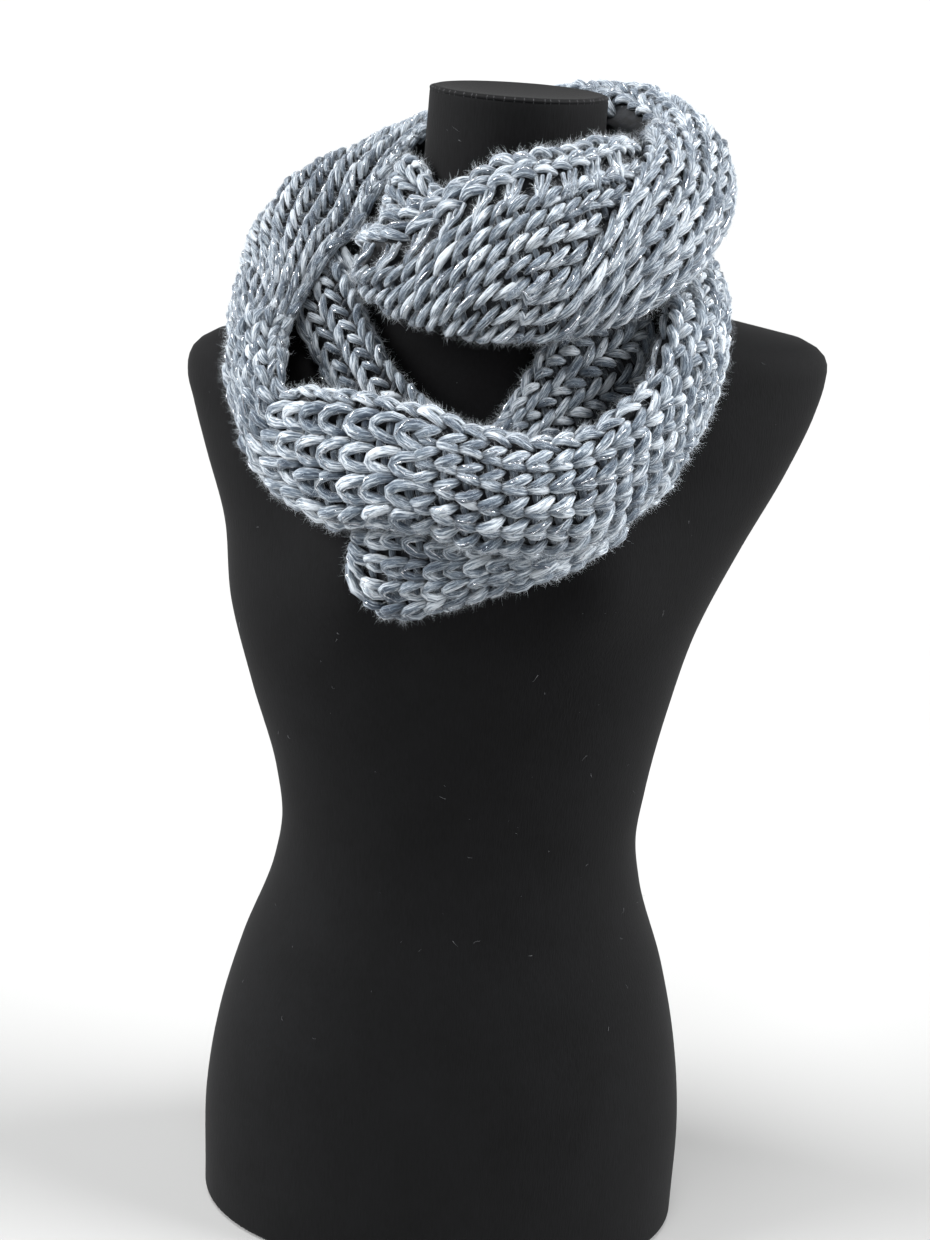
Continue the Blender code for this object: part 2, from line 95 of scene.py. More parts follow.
# ---------------------------------------------------------------- the scarf's sections
# Azimuth of the section's first and last point, then distance from the axis and height of
# six points from the edge at the neck, over the outside, to the lower edge.
BAND = (
    (-78, -78, 8.0, 75.2, 8.3, 75.5, 8.8, 75.2, 9.1, 74.6, 8.9, 74.0, 8.4, 73.7),
    (-64, -64, 8.3, 75.3, 8.9, 75.5, 9.6, 74.8, 9.9, 73.9, 9.6, 73.1, 8.7, 72.7),
    (-50, -50, 8.0, 76.6, 8.6, 76.9, 10.0, 75.8, 10.7, 73.9, 10.2, 72.1, 8.6, 71.9),
    (-35, -35, 7.4, 77.7, 8.0, 77.9, 9.9, 76.3, 11.0, 73.7, 10.6, 71.6, 8.8, 71.3),
    (-18, -18, 7.0, 79.2, 7.7, 79.4, 9.9, 77.5, 11.3, 74.3, 11.0, 71.3, 9.0, 71.0),
    (0, 0, 7.0, 80.7, 7.8, 80.9, 10.2, 78.6, 11.9, 74.9, 11.4, 71.1, 9.2, 70.8),
    (20, 20, 7.3, 81.3, 8.2, 81.6, 10.8, 79.3, 12.6, 75.5, 12.1, 71.4, 9.8, 71.2),
    (40, 40, 7.8, 81.9, 8.8, 82.3, 11.4, 80.0, 13.2, 76.5, 12.9, 72.7, 10.8, 72.3),
    (58, 58, 8.3, 82.1, 9.4, 82.6, 12.0, 80.9, 13.9, 77.7, 13.7, 74.2, 11.8, 73.6),
    (76, 76, 8.6, 81.6, 10.0, 82.7, 12.8, 81.9, 14.5, 79.1, 14.3, 76.1, 12.7, 75.2),
    (92, 92, 8.7, 81.6, 10.6, 83.4, 13.4, 82.8, 15.1, 80.2, 14.9, 77.5, 13.3, 76.4),
    (108, 108, 8.5, 82.2, 10.6, 84.3, 13.0, 83.7, 14.8, 80.9, 14.8, 78.3, 13.2, 76.9),
    (125, 125, 8.0, 82.9, 10.2, 84.8, 12.2, 84.1, 13.9, 81.4, 14.1, 78.6, 12.6, 76.8),
    (142, 142, 7.5, 83.4, 9.3, 84.7, 11.2, 83.9, 12.8, 81.2, 13.0, 78.4, 11.8, 76.6),
    (160, 160, 7.1, 83.2, 8.6, 84.0, 10.6, 83.0, 11.9, 80.4, 12.0, 77.6, 11.0, 76.1),
    (180, 180, 6.9, 82.8, 8.3, 83.5, 10.3, 82.3, 11.4, 79.5, 11.4, 76.9, 10.5, 75.6),
    (200, 196, 6.9, 82.3, 8.1, 82.7, 10.2, 81.5, 11.2, 78.8, 11.3, 76.1, 10.6, 74.7),
    (222, 214, 7.1, 81.2, 8.4, 81.9, 10.8, 80.7, 12.1, 77.8, 12.1, 74.7, 11.3, 73.3),
    (246, 232, 7.3, 79.7, 8.9, 80.3, 11.7, 79.5, 13.6, 76.7, 13.8, 73.4, 12.6, 71.8),
    (262, 246, 7.9, 77.8, 9.8, 78.8, 13.4, 78.3, 15.3, 75.3, 15.2, 72.2, 13.9, 70.7),
    (276, 258, 9.1, 75.4, 11.2, 76.3, 14.4, 76.3, 16.4, 73.4, 16.4, 70.9, 15.2, 69.6),
    (283, 268, 10.8, 74.0, 12.6, 74.7, 15.1, 73.7, 16.5, 71.7, 16.6, 70.3, 15.6, 69.5),
    (289, 276, 12.6, 71.6, 14.2, 72.2, 15.8, 71.5, 16.8, 70.2, 17.1, 69.2, 16.6, 68.6),
    (295, 285, 14.2, 69.3, 15.3, 69.9, 16.4, 69.2, 16.9, 67.7, 17.0, 66.2, 16.9, 65.1),
    (302, 293, 15.0, 67.6, 15.9, 67.8, 16.7, 66.5, 16.9, 64.5, 16.6, 62.6, 16.2, 61.6),
    (307, 300, 15.4, 66.0, 16.0, 65.9, 16.4, 64.3, 16.4, 62.3, 16.0, 60.5, 15.3, 59.7),
    (314, 310, 14.7, 66.5, 15.4, 66.4, 16.0, 64.7, 16.0, 62.2, 15.5, 59.9, 14.7, 58.9),
    (324, 322, 13.9, 66.7, 14.7, 66.7, 15.6, 64.9, 15.7, 62.2, 15.3, 59.7, 14.4, 58.3),
    (338, 338, 13.2, 66.5, 14.0, 66.5, 15.0, 64.5, 15.5, 62.1, 15.3, 60.2, 14.5, 59.3),
    (350, 350, 13.1, 66.3, 13.9, 66.1, 14.9, 64.0, 15.3, 61.8, 15.1, 59.9, 14.3, 59.0),
    (362, 362, 13.1, 65.4, 13.9, 65.2, 14.9, 63.3, 15.3, 61.1, 15.0, 59.2, 14.1, 58.3),
    (375, 375, 13.4, 65.2, 14.2, 65.0, 15.2, 63.1, 15.5, 61.0, 15.1, 59.0, 14.2, 58.1),
    (388, 388, 13.9, 65.8, 14.7, 65.6, 15.5, 63.7, 15.7, 61.5, 15.2, 59.4, 14.3, 58.5),
    (400, 401, 14.1, 67.8, 14.9, 67.6, 15.6, 65.6, 15.7, 63.1, 15.2, 60.9, 14.3, 59.9),
    (408, 411, 13.8, 69.6, 14.6, 69.5, 15.5, 67.3, 15.8, 64.5, 15.4, 62.3, 14.6, 61.3),
    (418, 420, 13.0, 72.3, 14.0, 72.5, 15.3, 70.3, 15.9, 67.3, 15.6, 64.9, 14.9, 63.6),
    (430, 426, 11.6, 72.6, 12.9, 73.3, 14.7, 72.6, 15.8, 70.1, 16.0, 67.7, 15.8, 66.5),
    (442, 436, 10.8, 73.7, 12.2, 74.6, 14.0, 74.3, 15.2, 72.8, 15.5, 71.4, 15.0, 70.7),
    (455, 450, 10.4, 74.2, 11.8, 75.1, 13.6, 75.0, 14.7, 73.7, 15.0, 72.6, 14.4, 71.9),
    (470, 468, 9.9, 74.3, 11.2, 75.4, 12.8, 75.3, 13.9, 74.1, 14.0, 72.9, 13.1, 72.1),
    (488, 488, 9.6, 74.2, 11.0, 75.3, 12.6, 75.0, 13.6, 73.5, 13.4, 72.1, 12.4, 71.2),
    (508, 508, 9.3, 73.8, 10.8, 74.8, 12.3, 74.3, 13.2, 72.5, 12.9, 70.7, 11.8, 69.6),
    (530, 530, 9.2, 73.3, 10.7, 74.2, 12.1, 73.7, 12.8, 71.9, 12.4, 70.1, 11.2, 68.9),
    (550, 550, 9.0, 72.9, 10.2, 73.6, 11.5, 73.0, 12.2, 71.4, 11.9, 69.8, 10.8, 68.8),
    (566, 566, 8.8, 72.5, 9.7, 73.0, 10.7, 72.5, 11.2, 71.2, 10.9, 70.0, 10.1, 69.4),
    (580, 580, 8.7, 72.3, 9.2, 72.7, 9.9, 72.3, 10.2, 71.5, 10.0, 70.8, 9.5, 70.5),
)

INNER_LEFT = (
    (-86, -88, 10.0, 72.6, 10.4, 73.3, 11.2, 73.0, 12.1, 72.3, 12.8, 71.6, 13.2, 71.0),
    (-74, -76, 10.0, 72.2, 10.3, 73.1, 11.1, 72.5, 12.0, 71.4, 12.6, 70.6, 12.9, 69.9),
    (-63, -65, 9.3, 70.3, 9.6, 71.3, 10.3, 70.7, 11.2, 69.4, 11.8, 68.4, 12.1, 67.6),
    (-53, -55, 9.1, 68.5, 9.4, 69.6, 10.0, 69.0, 10.8, 67.7, 11.3, 66.6, 11.5, 65.6),
    (-41, -44, 9.0, 66.9, 9.3, 67.9, 9.9, 67.3, 10.7, 66.2, 11.2, 65.1, 11.4, 64.1),
    (-26, -30, 8.9, 65.4, 9.3, 66.4, 10.0, 65.8, 10.8, 64.6, 11.2, 63.6, 11.3, 62.6),
    (-14, -16, 8.8, 64.1, 9.2, 65.1, 10.0, 64.6, 10.8, 63.5, 11.2, 62.5, 11.2, 61.5),
    (-3, -3, 8.7, 63.3, 9.1, 64.2, 9.8, 63.6, 10.4, 62.7, 10.7, 61.9, 10.7, 61.2),
)

INNER_RIGHT = (
    (0, 0, 8.6, 63.4, 9.1, 64.2, 9.8, 63.6, 10.4, 62.7, 10.7, 61.9, 10.7, 61.2),
    (7, 7, 8.5, 64.3, 9.1, 64.9, 9.7, 64.1, 10.3, 63.1, 10.7, 62.2, 10.8, 61.4),
    (15, 14, 8.3, 66.6, 8.9, 66.8, 9.5, 65.7, 10.1, 64.3, 10.6, 62.9, 10.8, 61.7),
    (28, 27, 8.0, 69.5, 8.6, 69.4, 9.5, 67.7, 10.3, 66.0, 10.9, 64.3, 11.2, 62.9),
    (42, 42, 8.5, 71.6, 9.3, 71.2, 10.3, 69.3, 11.1, 67.3, 11.7, 65.5, 12.0, 64.1),
    (54, 54, 9.2, 72.7, 10.1, 72.1, 11.2, 70.3, 12.1, 68.5, 12.7, 66.9, 13.1, 65.7),
    (64, 64, 9.4, 73.5, 10.3, 72.9, 11.1, 71.9, 12.0, 70.9, 12.7, 70.2, 13.2, 69.5),
)

NECK_LEFT = (
    (-140, -140, 6.0, 78.8, 6.3, 79.1, 6.7, 78.5, 7.0, 77.5, 7.1, 76.5, 7.1, 75.7),
    (-112, -112, 5.9, 79.0, 6.2, 79.3, 6.6, 78.7, 6.9, 77.6, 7.1, 76.6, 7.2, 75.8),
    (-86, -86, 5.7, 79.5, 6.0, 79.9, 6.6, 79.3, 7.0, 78.2, 7.2, 77.0, 7.3, 76.0),
    (-64, -64, 5.6, 79.5, 5.9, 79.9, 6.5, 79.3, 6.9, 78.1, 7.1, 76.9, 7.2, 75.8),
    (-42, -42, 5.7, 78.4, 6.0, 78.8, 6.5, 78.1, 6.8, 76.9, 6.9, 75.9, 6.9, 75.0),
    (-25, -25, 5.9, 77.4, 6.2, 77.7, 6.6, 77.0, 6.8, 75.9, 6.9, 74.9, 6.9, 74.1),
)

CORNER_FOLD = (
    (-34.5, -34.5, 12.9, 58.7, 13.2, 58.2, 13.4, 57.5, 13.4, 56.6, 13.3, 55.8, 13.0, 55.3),
    (-31, -31, 12.8, 59.5, 13.2, 58.5, 13.5, 57.0, 13.5, 55.4, 13.2, 54.0, 12.6, 53.4),
    (-25, -25, 12.7, 60.1, 13.2, 58.7, 13.5, 56.7, 13.4, 54.7, 12.9, 53.0, 12.2, 52.5),
    (-16, -16, 12.7, 60.1, 13.1, 58.7, 13.4, 56.9, 13.3, 55.1, 12.9, 53.5, 12.1, 52.9),
    (-6, -6, 12.7, 59.7, 13.1, 58.5, 13.3, 57.0, 13.2, 55.5, 12.8, 54.2, 12.0, 53.6),
    (6, 6, 12.7, 59.5, 13.2, 58.5, 13.4, 57.4, 13.3, 56.4, 12.9, 55.4, 12.2, 54.9),
    (20, 20, 12.8, 59.5, 13.3, 58.6, 13.6, 57.8, 13.6, 57.1, 13.3, 56.4, 12.7, 56.0),
    (33, 33, 12.8, 59.8, 13.2, 59.1, 13.5, 58.5, 13.7, 58.0, 13.6, 57.5, 13.1, 57.2),
    (43, 43, 12.9, 60.9, 13.2, 60.4, 13.5, 59.9, 13.8, 59.5, 13.8, 59.1, 13.5, 58.8),
)

RING_MIDDLE = (-0.5, -1.0)   # the upright axis that the scarf's turns are measured from
SECTION_POINTS = 6
WALL = 0.42                  # depth of the cloth below its sections

# Each stretch: the table, its first and last row, and the columns of stitches across it.
STRETCHES = {
    "upper_front": (BAND, 0, 10, 9),
    "upper_back": (BAND, 10, 17, 9),
    "left_outer": (BAND, 17, 24, 12),
    "lower_front": (BAND, 24, 34, 4),
    "right_outer": (BAND, 34, 39, 5),
    "lower_back": (BAND, 39, 45, 4),
    "inner_left": (INNER_LEFT, 0, 7, 3),
    "inner_right": (INNER_RIGHT, 0, 6, 4),
    "neck_left": (NECK_LEFT, 0, 5, 3),
    "corner_fold": (CORNER_FOLD, 0, 8, 5),
}

# The front of the upper turn: where the ladder of holes lies, and the crease below which
# the columns sweep down from the right.  Distance along the band in cm, part of its width.
LADDER = ((0, 0.46), (8.2, 0.45), (9.6, 0.40), (11, 0.32), (12.7, 0.26), (15.1, 0.22),
          (20, 0.21), (26, 0.19), (33, 0.15))
CREASE = ((17, 0.62), (19, 0.61), (19.8, 0.585), (22.1, 0.45), (24, 0.33), (27, 0.22),
          (30.2, 0.13), (33, 0.04), (36, 0.0))
ROWS_TO_CREASE = 5.55        # cm from the ladder down to the crease's foot
CREASE_DEPTH = 0.55
CREASE_WIDTH = 0.9
BACKING_TOP = 0.25           # how far the cloth between the columns lies below them
USUAL_RINGS = 10             # rings along one stitch
RINGS = {"left_outer": 8, "upper_back": 8, "inner_left": 8, "inner_right": 8, "neck_left": 8,
         "lower_back": 8}
SIDES = 9                    # points round the yarn
PURL_SIDES = 8
PURL_SHADE_TONE = 0.35             # tone of the loops between the columns, from dark 0 to light 1, set below the stitches' as painted shade
KNOT_AT = 22.0               # cm down the left stretch, where the fine columns end

# One leg of a stitch: distance on along the column (in pitches), distance out from its
# middle (in column widths), height over the cloth (in yarn radii), thickness.
LEG = (
    (-0.16, 0.06, -1.00, 0.50),
    (0.05, 0.09, -0.05, 0.86),
    (0.33, 0.17, 0.60, 1.00),
    (0.63, 0.28, 0.55, 1.00),
    (0.91, 0.38, -0.20, 0.84),
    (1.10, 0.42, -1.05, 0.50),
)

# Half of an open stitch, from the bend at its foot to where a leg goes under.
LOOP = (
    (-0.08, 0.00, 0.15, 0.90),
    (0.06, 0.14, 0.40, 1.00),
    (0.34, 0.25, 0.65, 1.05),
    (0.66, 0.31, 0.50, 1.00),
    (0.95, 0.32, -0.20, 0.85),
    (1.18, 0.26, -1.05, 0.55),
)
OPEN_STRETCHES = ("lower_front", "corner_fold")
LOOPS_END = 15.0             # cm along the lower front, where its open stitches close to V's
LEAN_REACH = 0.52            # how far a leaning leg runs to either side, in column widths
REACHES = {"left_outer": 1.65, "upper_back": 1.1}     # how far a leg reaches, in stitches
USUAL_WIDEST = 2.35          # cm, the widest that a column gets
WIDEST = {"right_outer": 1.95, "lower_back": 1.95}    # cm, where columns have gaps between them
SELVAGES = {"lower_front": 1.4, "right_outer": 0.35}  # cm of plain strand along the neck edge
RIGHT_COLUMNS = 5            # columns of the lower front beyond its open stitches
TURN_COLUMNS = 7             # columns round the turn below the fine ones
OVERLAP = 0.6                # cm that two lots of columns share where they meet
# The upper front's plain strands, as parts of the way from its edge to the ladder, then its
# columns from the ladder to the crease and from the crease down.
PLAIN_STRANDS = {"middles": (0.20, 0.62), "wide": 0.40}
LADDER_ROWS = {"count": 8, "gap": 1.3, "wide": 1.35}
SWEEP_ROWS = {"count": 9, "gap": 1.47, "wide": 1.5, "first": 0.75}
FIRST_ROW = ((12, 1.42), (24, 0.55))    # how far along, and from the ladder to the first column
STITCH_AHEAD = 1.2           # cm from a stitch's start to where its legs may meet the crease
CREASE_OVERLAP = 0.2         # cm that its legs may pass the crease
LOWEST_ROW = 0.97            # part of the width where the upper front's last column lies
# Bare cloth left in the hollow beside the neck, its near-black backing showing as painted shade: cm
# along the front and back, part of the width.
SHADED_HOLLOW = {"front": 28.5, "back": 6.5, "across": 0.125}
# Ends of the strands tucked in where the inner turn comes out from under the upper one.
TUCKS = (((-10.9, -2.9, 74.1), (-9.5, -2.9, 71.9)), ((-10.3, -2.9, 74.2), (-9.0, -3.1, 72.2)))
TUCK_RADIUS = 0.36
TUCK_BELLY = 0.3             # how far their middles stand out
SILVER_RADIUS = 0.038
FUZZ_LENGTH = (0.25, 0.8)
FUZZ_RADIUS = (0.003, 0.0055)

# ---------------------------------------------------------------- the stage
CAMERA = {"pitch": 19.74, "roll": 4.0, "away": 142.1, "aside": -0.69, "aim_height": 48.15,
          "lens": 58.27}
# Each light: the way it comes from, and the width of its disc in degrees.
LIGHTS = {"key": ((-20, -45, 190), 20), "left": ((-146, -22, 82), 35),
          "right": ((150, -12, 85), 35)}
# Brightness of the walls, and the heights on the sky where they end and the ceiling begins.
ROOM = {"walls": 0.9, "walls_end": 0.24, "ceiling_from": 0.42}
FLOOR_HALF = 6000            # half the side of the floor


# ---------------------------------------------------------------- smooth curves through tables
def smooth(keys, values, at):
    """Values at every place in `at` of a smooth curve through the rows."""
    keys = np.asarray(keys, float)
    values = np.asarray(values, float)
    at = np.atleast_1d(np.asarray(at, float))
    shape = (-1,) + (1,) * (values.ndim - 1)
    steps = np.diff(keys)
    rises = np.diff(values, axis=0) / steps.reshape(shape)
    before, after = steps[:-1].reshape(shape), steps[1:].reshape(shape)
    slopes = np.concatenate([
        rises[:1], (rises[:-1] * after + rises[1:] * before) / (before + after), rises[-1:]])
    span = np.clip(np.searchsorted(keys, at) - 1, 0, len(keys) - 2)
    width = steps[span].reshape(shape)
    t = ((at - keys[span]).reshape(shape)) / width
    return ((2 * t**3 - 3 * t**2 + 1) * values[span] + (t**3 - 2 * t**2 + t) * width * slopes[span]
            + (3 * t**2 - 2 * t**3) * values[span + 1] + (t**3 - t**2) * width * slopes[span + 1])


def line(table, at):
    """Straight-line value of a two-column table."""
    rows = np.array(table, float)
    return np.interp(at, rows[:, 0], rows[:, 1])


def unit(vectors):
    """The vectors at a length of one."""
    return vectors / np.maximum(np.linalg.norm(vectors, axis=-1, keepdims=True), 1e-9)


# ---------------------------------------------------------------- the cloth as a surface
class Cloth:
    """A stretch of the scarf as a fine grid of places: along it, then across it."""

    ALONG = 160
    ACROSS = 49
    FINE = 80    # points along a section before it is spaced evenly

    def __init__(self, table, first, last):
        rows = np.linspace(first, last, self.ALONG)
        values = smooth(np.arange(float(len(table))), table, rows)
        self.places = np.array([self.section(row) for row in values])
        along = np.gradient(self.places, axis=0)
        across = np.gradient(self.places, axis=1)
        self.normals = unit(np.cross(across, along))
        middle = self.places[:, self.ACROSS // 2]
        steps = np.linalg.norm(np.diff(middle, axis=0), axis=1)
        self.reach = np.concatenate([[0], np.cumsum(steps)])
        self.length = self.reach[-1]
        self.widths = np.linalg.norm(np.diff(self.places, axis=1), axis=2).sum(axis=1)

    @classmethod
    def section(cls, row):
        """Points evenly spaced along one section, from the edge at the neck."""
        turns = np.linspace(row[0], row[1], SECTION_POINTS)
        marks = np.stack([turns, row[2::2], row[3::2]], axis=1)
        fine = np.linspace(0, SECTION_POINTS - 1, cls.FINE)
        turn, reach, height = smooth(np.arange(float(SECTION_POINTS)), marks, fine).T
        angle = np.radians(turn)
        curve = np.stack([RING_MIDDLE[0] + reach * np.sin(angle),
                          RING_MIDDLE[1] - reach * np.cos(angle), height], axis=1)
        steps = np.linalg.norm(np.diff(curve, axis=0), axis=1)
        travelled = np.concatenate([[0], np.cumsum(steps)])
        even = np.linspace(0, travelled[-1], cls.ACROSS)
        return np.stack([np.interp(even, travelled, axis) for axis in curve.T], axis=1)

    def width(self, s):
        """Width of the cloth s cm along."""
        return np.interp(s, self.reach, self.widths)

    def area(self):
        """Area of the stretch in square centimetres."""
        along, across = np.diff(self.places, axis=0)[:, 1:], np.diff(self.places, axis=1)[1:]
        return float(np.linalg.norm(np.cross(along, across), axis=2).sum())

    def at(self, s, v):
        """Place and outward direction s cm along and v of the way across."""
        row = np.interp(s, self.reach, np.arange(float(self.ALONG)))
        row = np.clip(row, 0, self.ALONG - 1.001)
        column = np.clip(np.asarray(v) * (self.ACROSS - 1), 0, self.ACROSS - 1.001)
        low, left = row.astype(int), column.astype(int)
        up, on = (row - low)[..., None], (column - left)[..., None]
        found = []
        for grid in (self.places, self.normals):
            near = grid[low, left] * (1 - on) + grid[low, left + 1] * on
            far = grid[low + 1, left] * (1 - on) + grid[low + 1, left + 1] * on
            found.append(near * (1 - up) + far * up)
        return found[0], unit(found[1])


CLOTHS = {name: Cloth(table, first, last)
          for name, (table, first, last, columns) in STRETCHES.items()}


# ---------------------------------------------------------------- meshes
YARN_SHIFT = 3.7    # cm of yarn between the map of one tube and the next


def make_mesh(name, verts, faces, finish, uvs=None, tones=None):
    """A smooth shaded mesh object, in metres, that rides on the model."""
    mesh = bpy.data.meshes.new(name)
    mesh.from_pydata(np.asarray(verts) * CM, [], faces)
    mesh.polygons.foreach_set("use_smooth", np.ones(len(mesh.polygons), bool))
    if uvs is not None:
        mesh.uv_layers.new(name="YarnMap").data.foreach_set("uv", np.asarray(uvs, float).ravel())
    if tones is not None:
        mesh.attributes.new("tone", "FLOAT", "POINT").data.foreach_set("value", tones)
    mesh.materials.append(finish)
    made = bpy.data.objects.new(name, mesh)
    bpy.context.scene.collection.objects.link(made)
    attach(made, "root")
    return made


def tube_mesh(paths, radii, up, sides, lobes=0, lobe_rise=0.0, twist=0.0, rough=0.0):
    """Closed tubes along many paths at once: points, faces and map of the yarn."""
    count, rings, _ = paths.shape
    tangent = unit(np.gradient(paths, axis=1))
    side = unit(np.cross(tangent, up))
    out = np.cross(side, tangent)
    angle = np.linspace(-math.pi, math.pi, sides, endpoint=False)
    turned = lobes * angle[None, :] + twist * math.tau * np.linspace(0, 1, rings)[:, None]
    wave = 1 + lobe_rise * np.cos(turned)
    uneven = np.random.default_rng(count).normal(1, rough, (count, rings, sides))
    reach = radii[:, :, None] * wave[None] * uneven
    points = (paths[:, :, None] + (reach * np.cos(angle))[..., None] * out[:, :, None]
              + (reach * np.sin(angle))[..., None] * side[:, :, None])
    starts = np.arange(count) * rings * sides
    body = (grid_faces(rings, sides)[None] + starts[:, None, None]).reshape(-1, 4)
    first = starts[:, None] + np.arange(sides)[None, ::-1]
    last = starts[:, None] + (rings - 1) * sides + np.arange(sides)[None]
    faces = body.tolist() + first.tolist() + last.tolist()
    lengths = np.linalg.norm(np.diff(paths, axis=1), axis=2).sum(axis=1)
    ring, step = np.meshgrid(np.arange(rings - 1), np.arange(sides), indexing="ij")
    u = ring[..., None] + np.array([0, 0, 1, 1])
    v = step[..., None] + np.array([0, 1, 1, 0])
    shift = np.arange(count) * YARN_SHIFT
    u = (u.reshape(1, -1) / (rings - 1) * lengths[:, None] + shift[:, None]).ravel()
    v = np.tile(v.reshape(-1) / sides, count)
    caps = np.zeros((count * sides * 2, 2))
    uvs = np.concatenate([np.stack([u, v], axis=1), caps])
    return points.reshape(-1, 3), faces, uvs


def grid_faces(rows, columns):
    """Quads between rings of points that close on themselves."""
    ring, step = np.meshgrid(np.arange(rows - 1), np.arange(columns), indexing="ij")
    after = (step + 1) % columns
    return np.stack([ring * columns + step, ring * columns + after,
                     (ring + 1) * columns + after, (ring + 1) * columns + step],
                    axis=-1).reshape(-1, 4)


# ---------------------------------------------------------------- materials
def new_material(name):
    """A material, its node tree and its Principled shader."""
    made = bpy.data.materials.new(name)
    made.use_nodes = True
    return made, made.node_tree, made.node_tree.nodes["Principled BSDF"]


def add_node(tree, kind, inputs=(), **settings):
    """A node with its settings, and its inputs either set to a value or linked."""
    node = tree.nodes.new(kind)
    for name, value in settings.items():
        setattr(node, name, value)
    for name, value in dict(inputs).items():
        if isinstance(value, bpy.types.NodeSocket):
            tree.links.new(value, node.inputs[name])
        else:
            node.inputs[name].default_value = value
    return node


def add_ramp(tree, factor, stops):
    """A colour ramp with its stops, over a factor."""
    ramp = add_node(tree, "ShaderNodeValToRGB", {"Fac": factor})
    elements = ramp.color_ramp.elements
    while len(elements) < len(stops):
        elements.new(0.5)
    for element, (place, colour) in zip(elements, stops):
        element.position = place
        element.color = (*colour, 1)
    return ramp


def mixed(tree, first, second, part):
    """first times (1 - part) plus second times part, as a value."""
    node = add_node(tree, "ShaderNodeMix", {"Factor": part}, data_type="FLOAT")
    tree.links.new(first, node.inputs["A"])
    tree.links.new(second, node.inputs["B"])
    return node.outputs["Result"]


def yarn_finish(name, dark, middle, light, tone_share):
    """Marled roving: fibres that run along the yarn, over slow patches of lighter dye."""
    made, tree, shader = new_material(name)
    place = add_node(tree, "ShaderNodeUVMap", uv_map="YarnMap").outputs["UV"]
    fibre_place = add_node(tree, "ShaderNodeMapping", {"Vector": place, "Scale": (1.3, 17, 1)})
    fibres = add_node(tree, "ShaderNodeTexNoise", {
        "Vector": fibre_place.outputs["Vector"], "Scale": 1.0, "Detail": 4.0, "Roughness": 0.65})
    patch_place = add_node(tree, "ShaderNodeMapping", {"Vector": place, "Scale": (0.5, 2.4, 1)})
    patches = add_node(tree, "ShaderNodeTexNoise", {
        "Vector": patch_place.outputs["Vector"], "Scale": 1.0, "Detail": 2.0})
    tone = add_node(tree, "ShaderNodeAttribute", attribute_name="tone").outputs["Fac"]
    marl = mixed(tree, fibres.outputs["Fac"], patches.outputs["Fac"], 0.35)
    value = mixed(tree, marl, tone, tone_share)
    stops = ((0.42, tuple(dark)), (0.497, tuple(middle)), (0.57, tuple(light)))
    ramp = add_ramp(tree, value, stops)
    tree.links.new(ramp.outputs["Color"], shader.inputs["Base Color"])
    bump = add_node(tree, "ShaderNodeBump", {
        "Height": fibres.outputs["Fac"], "Strength": 0.9, "Distance": 0.002})
    tree.links.new(bump.outputs["Normal"], shader.inputs["Normal"])
    shader.inputs["Roughness"].default_value = 0.92
    shader.inputs["Specular IOR Level"].default_value = 0.12
    shader.inputs["Sheen Weight"].default_value = 0.22
    shader.inputs["Sheen Roughness"].default_value = 0.5
    return made


def shaded_backing_finish(name):
    """The cloth behind the stitches: yarn painted near black as the shade between the columns, with
    loops across it.
    """
    made, tree, shader = new_material(name)
    place = add_node(tree, "ShaderNodeTexCoord").outputs["Object"]
    patches = add_node(tree, "ShaderNodeTexNoise", {"Vector": place, "Scale": 160.0, "Detail": 4.0})
    # Painted shade: near black to very dark blue, for the shade down between the stitches.
    ramp = add_ramp(tree, patches.outputs["Fac"], (
        (0.35, (0.001, 0.0015, 0.0025)), (0.75, (0.008, 0.011, 0.016))))
    tree.links.new(ramp.outputs["Color"], shader.inputs["Base Color"])
    bump = add_node(tree, "ShaderNodeBump", {
        "Height": patches.outputs["Fac"], "Strength": 0.8, "Distance": 0.002})
    tree.links.new(bump.outputs["Normal"], shader.inputs["Normal"])
    shader.inputs["Roughness"].default_value = 0.85
    return made


def silver_finish(name):
    """Flat metallic filament, brighter and duller along its length."""
    made, tree, shader = new_material(name)
    place = add_node(tree, "ShaderNodeTexCoord").outputs["Object"]
    flecks = add_node(tree, "ShaderNodeTexNoise", {"Vector": place, "Scale": 420.0, "Detail": 1.0})
    ramp = add_ramp(tree, flecks.outputs["Fac"], (
        (0.40, (0.34, 0.36, 0.40)), (0.62, (0.92, 0.94, 0.97))))
    tree.links.new(ramp.outputs["Color"], shader.inputs["Base Color"])
    shader.inputs["Metallic"].default_value = 1.0
    shader.inputs["Roughness"].default_value = 0.24
    return made


def fuzz_finish(name, colour):
    """Loose fibres, paler at random."""
    made, tree, shader = new_material(name)
    place = add_node(tree, "ShaderNodeTexCoord").outputs["Object"]
    patches = add_node(tree, "ShaderNodeTexNoise", {"Vector": place, "Scale": 90.0})
    paler = tuple(min(1.0, 1.35 * part) for part in colour)
    ramp = add_ramp(tree, patches.outputs["Fac"], ((0.4, tuple(colour)), (0.62, paler)))
    tree.links.new(ramp.outputs["Color"], shader.inputs["Base Color"])
    shader.inputs["Roughness"].default_value = 0.9
    return made


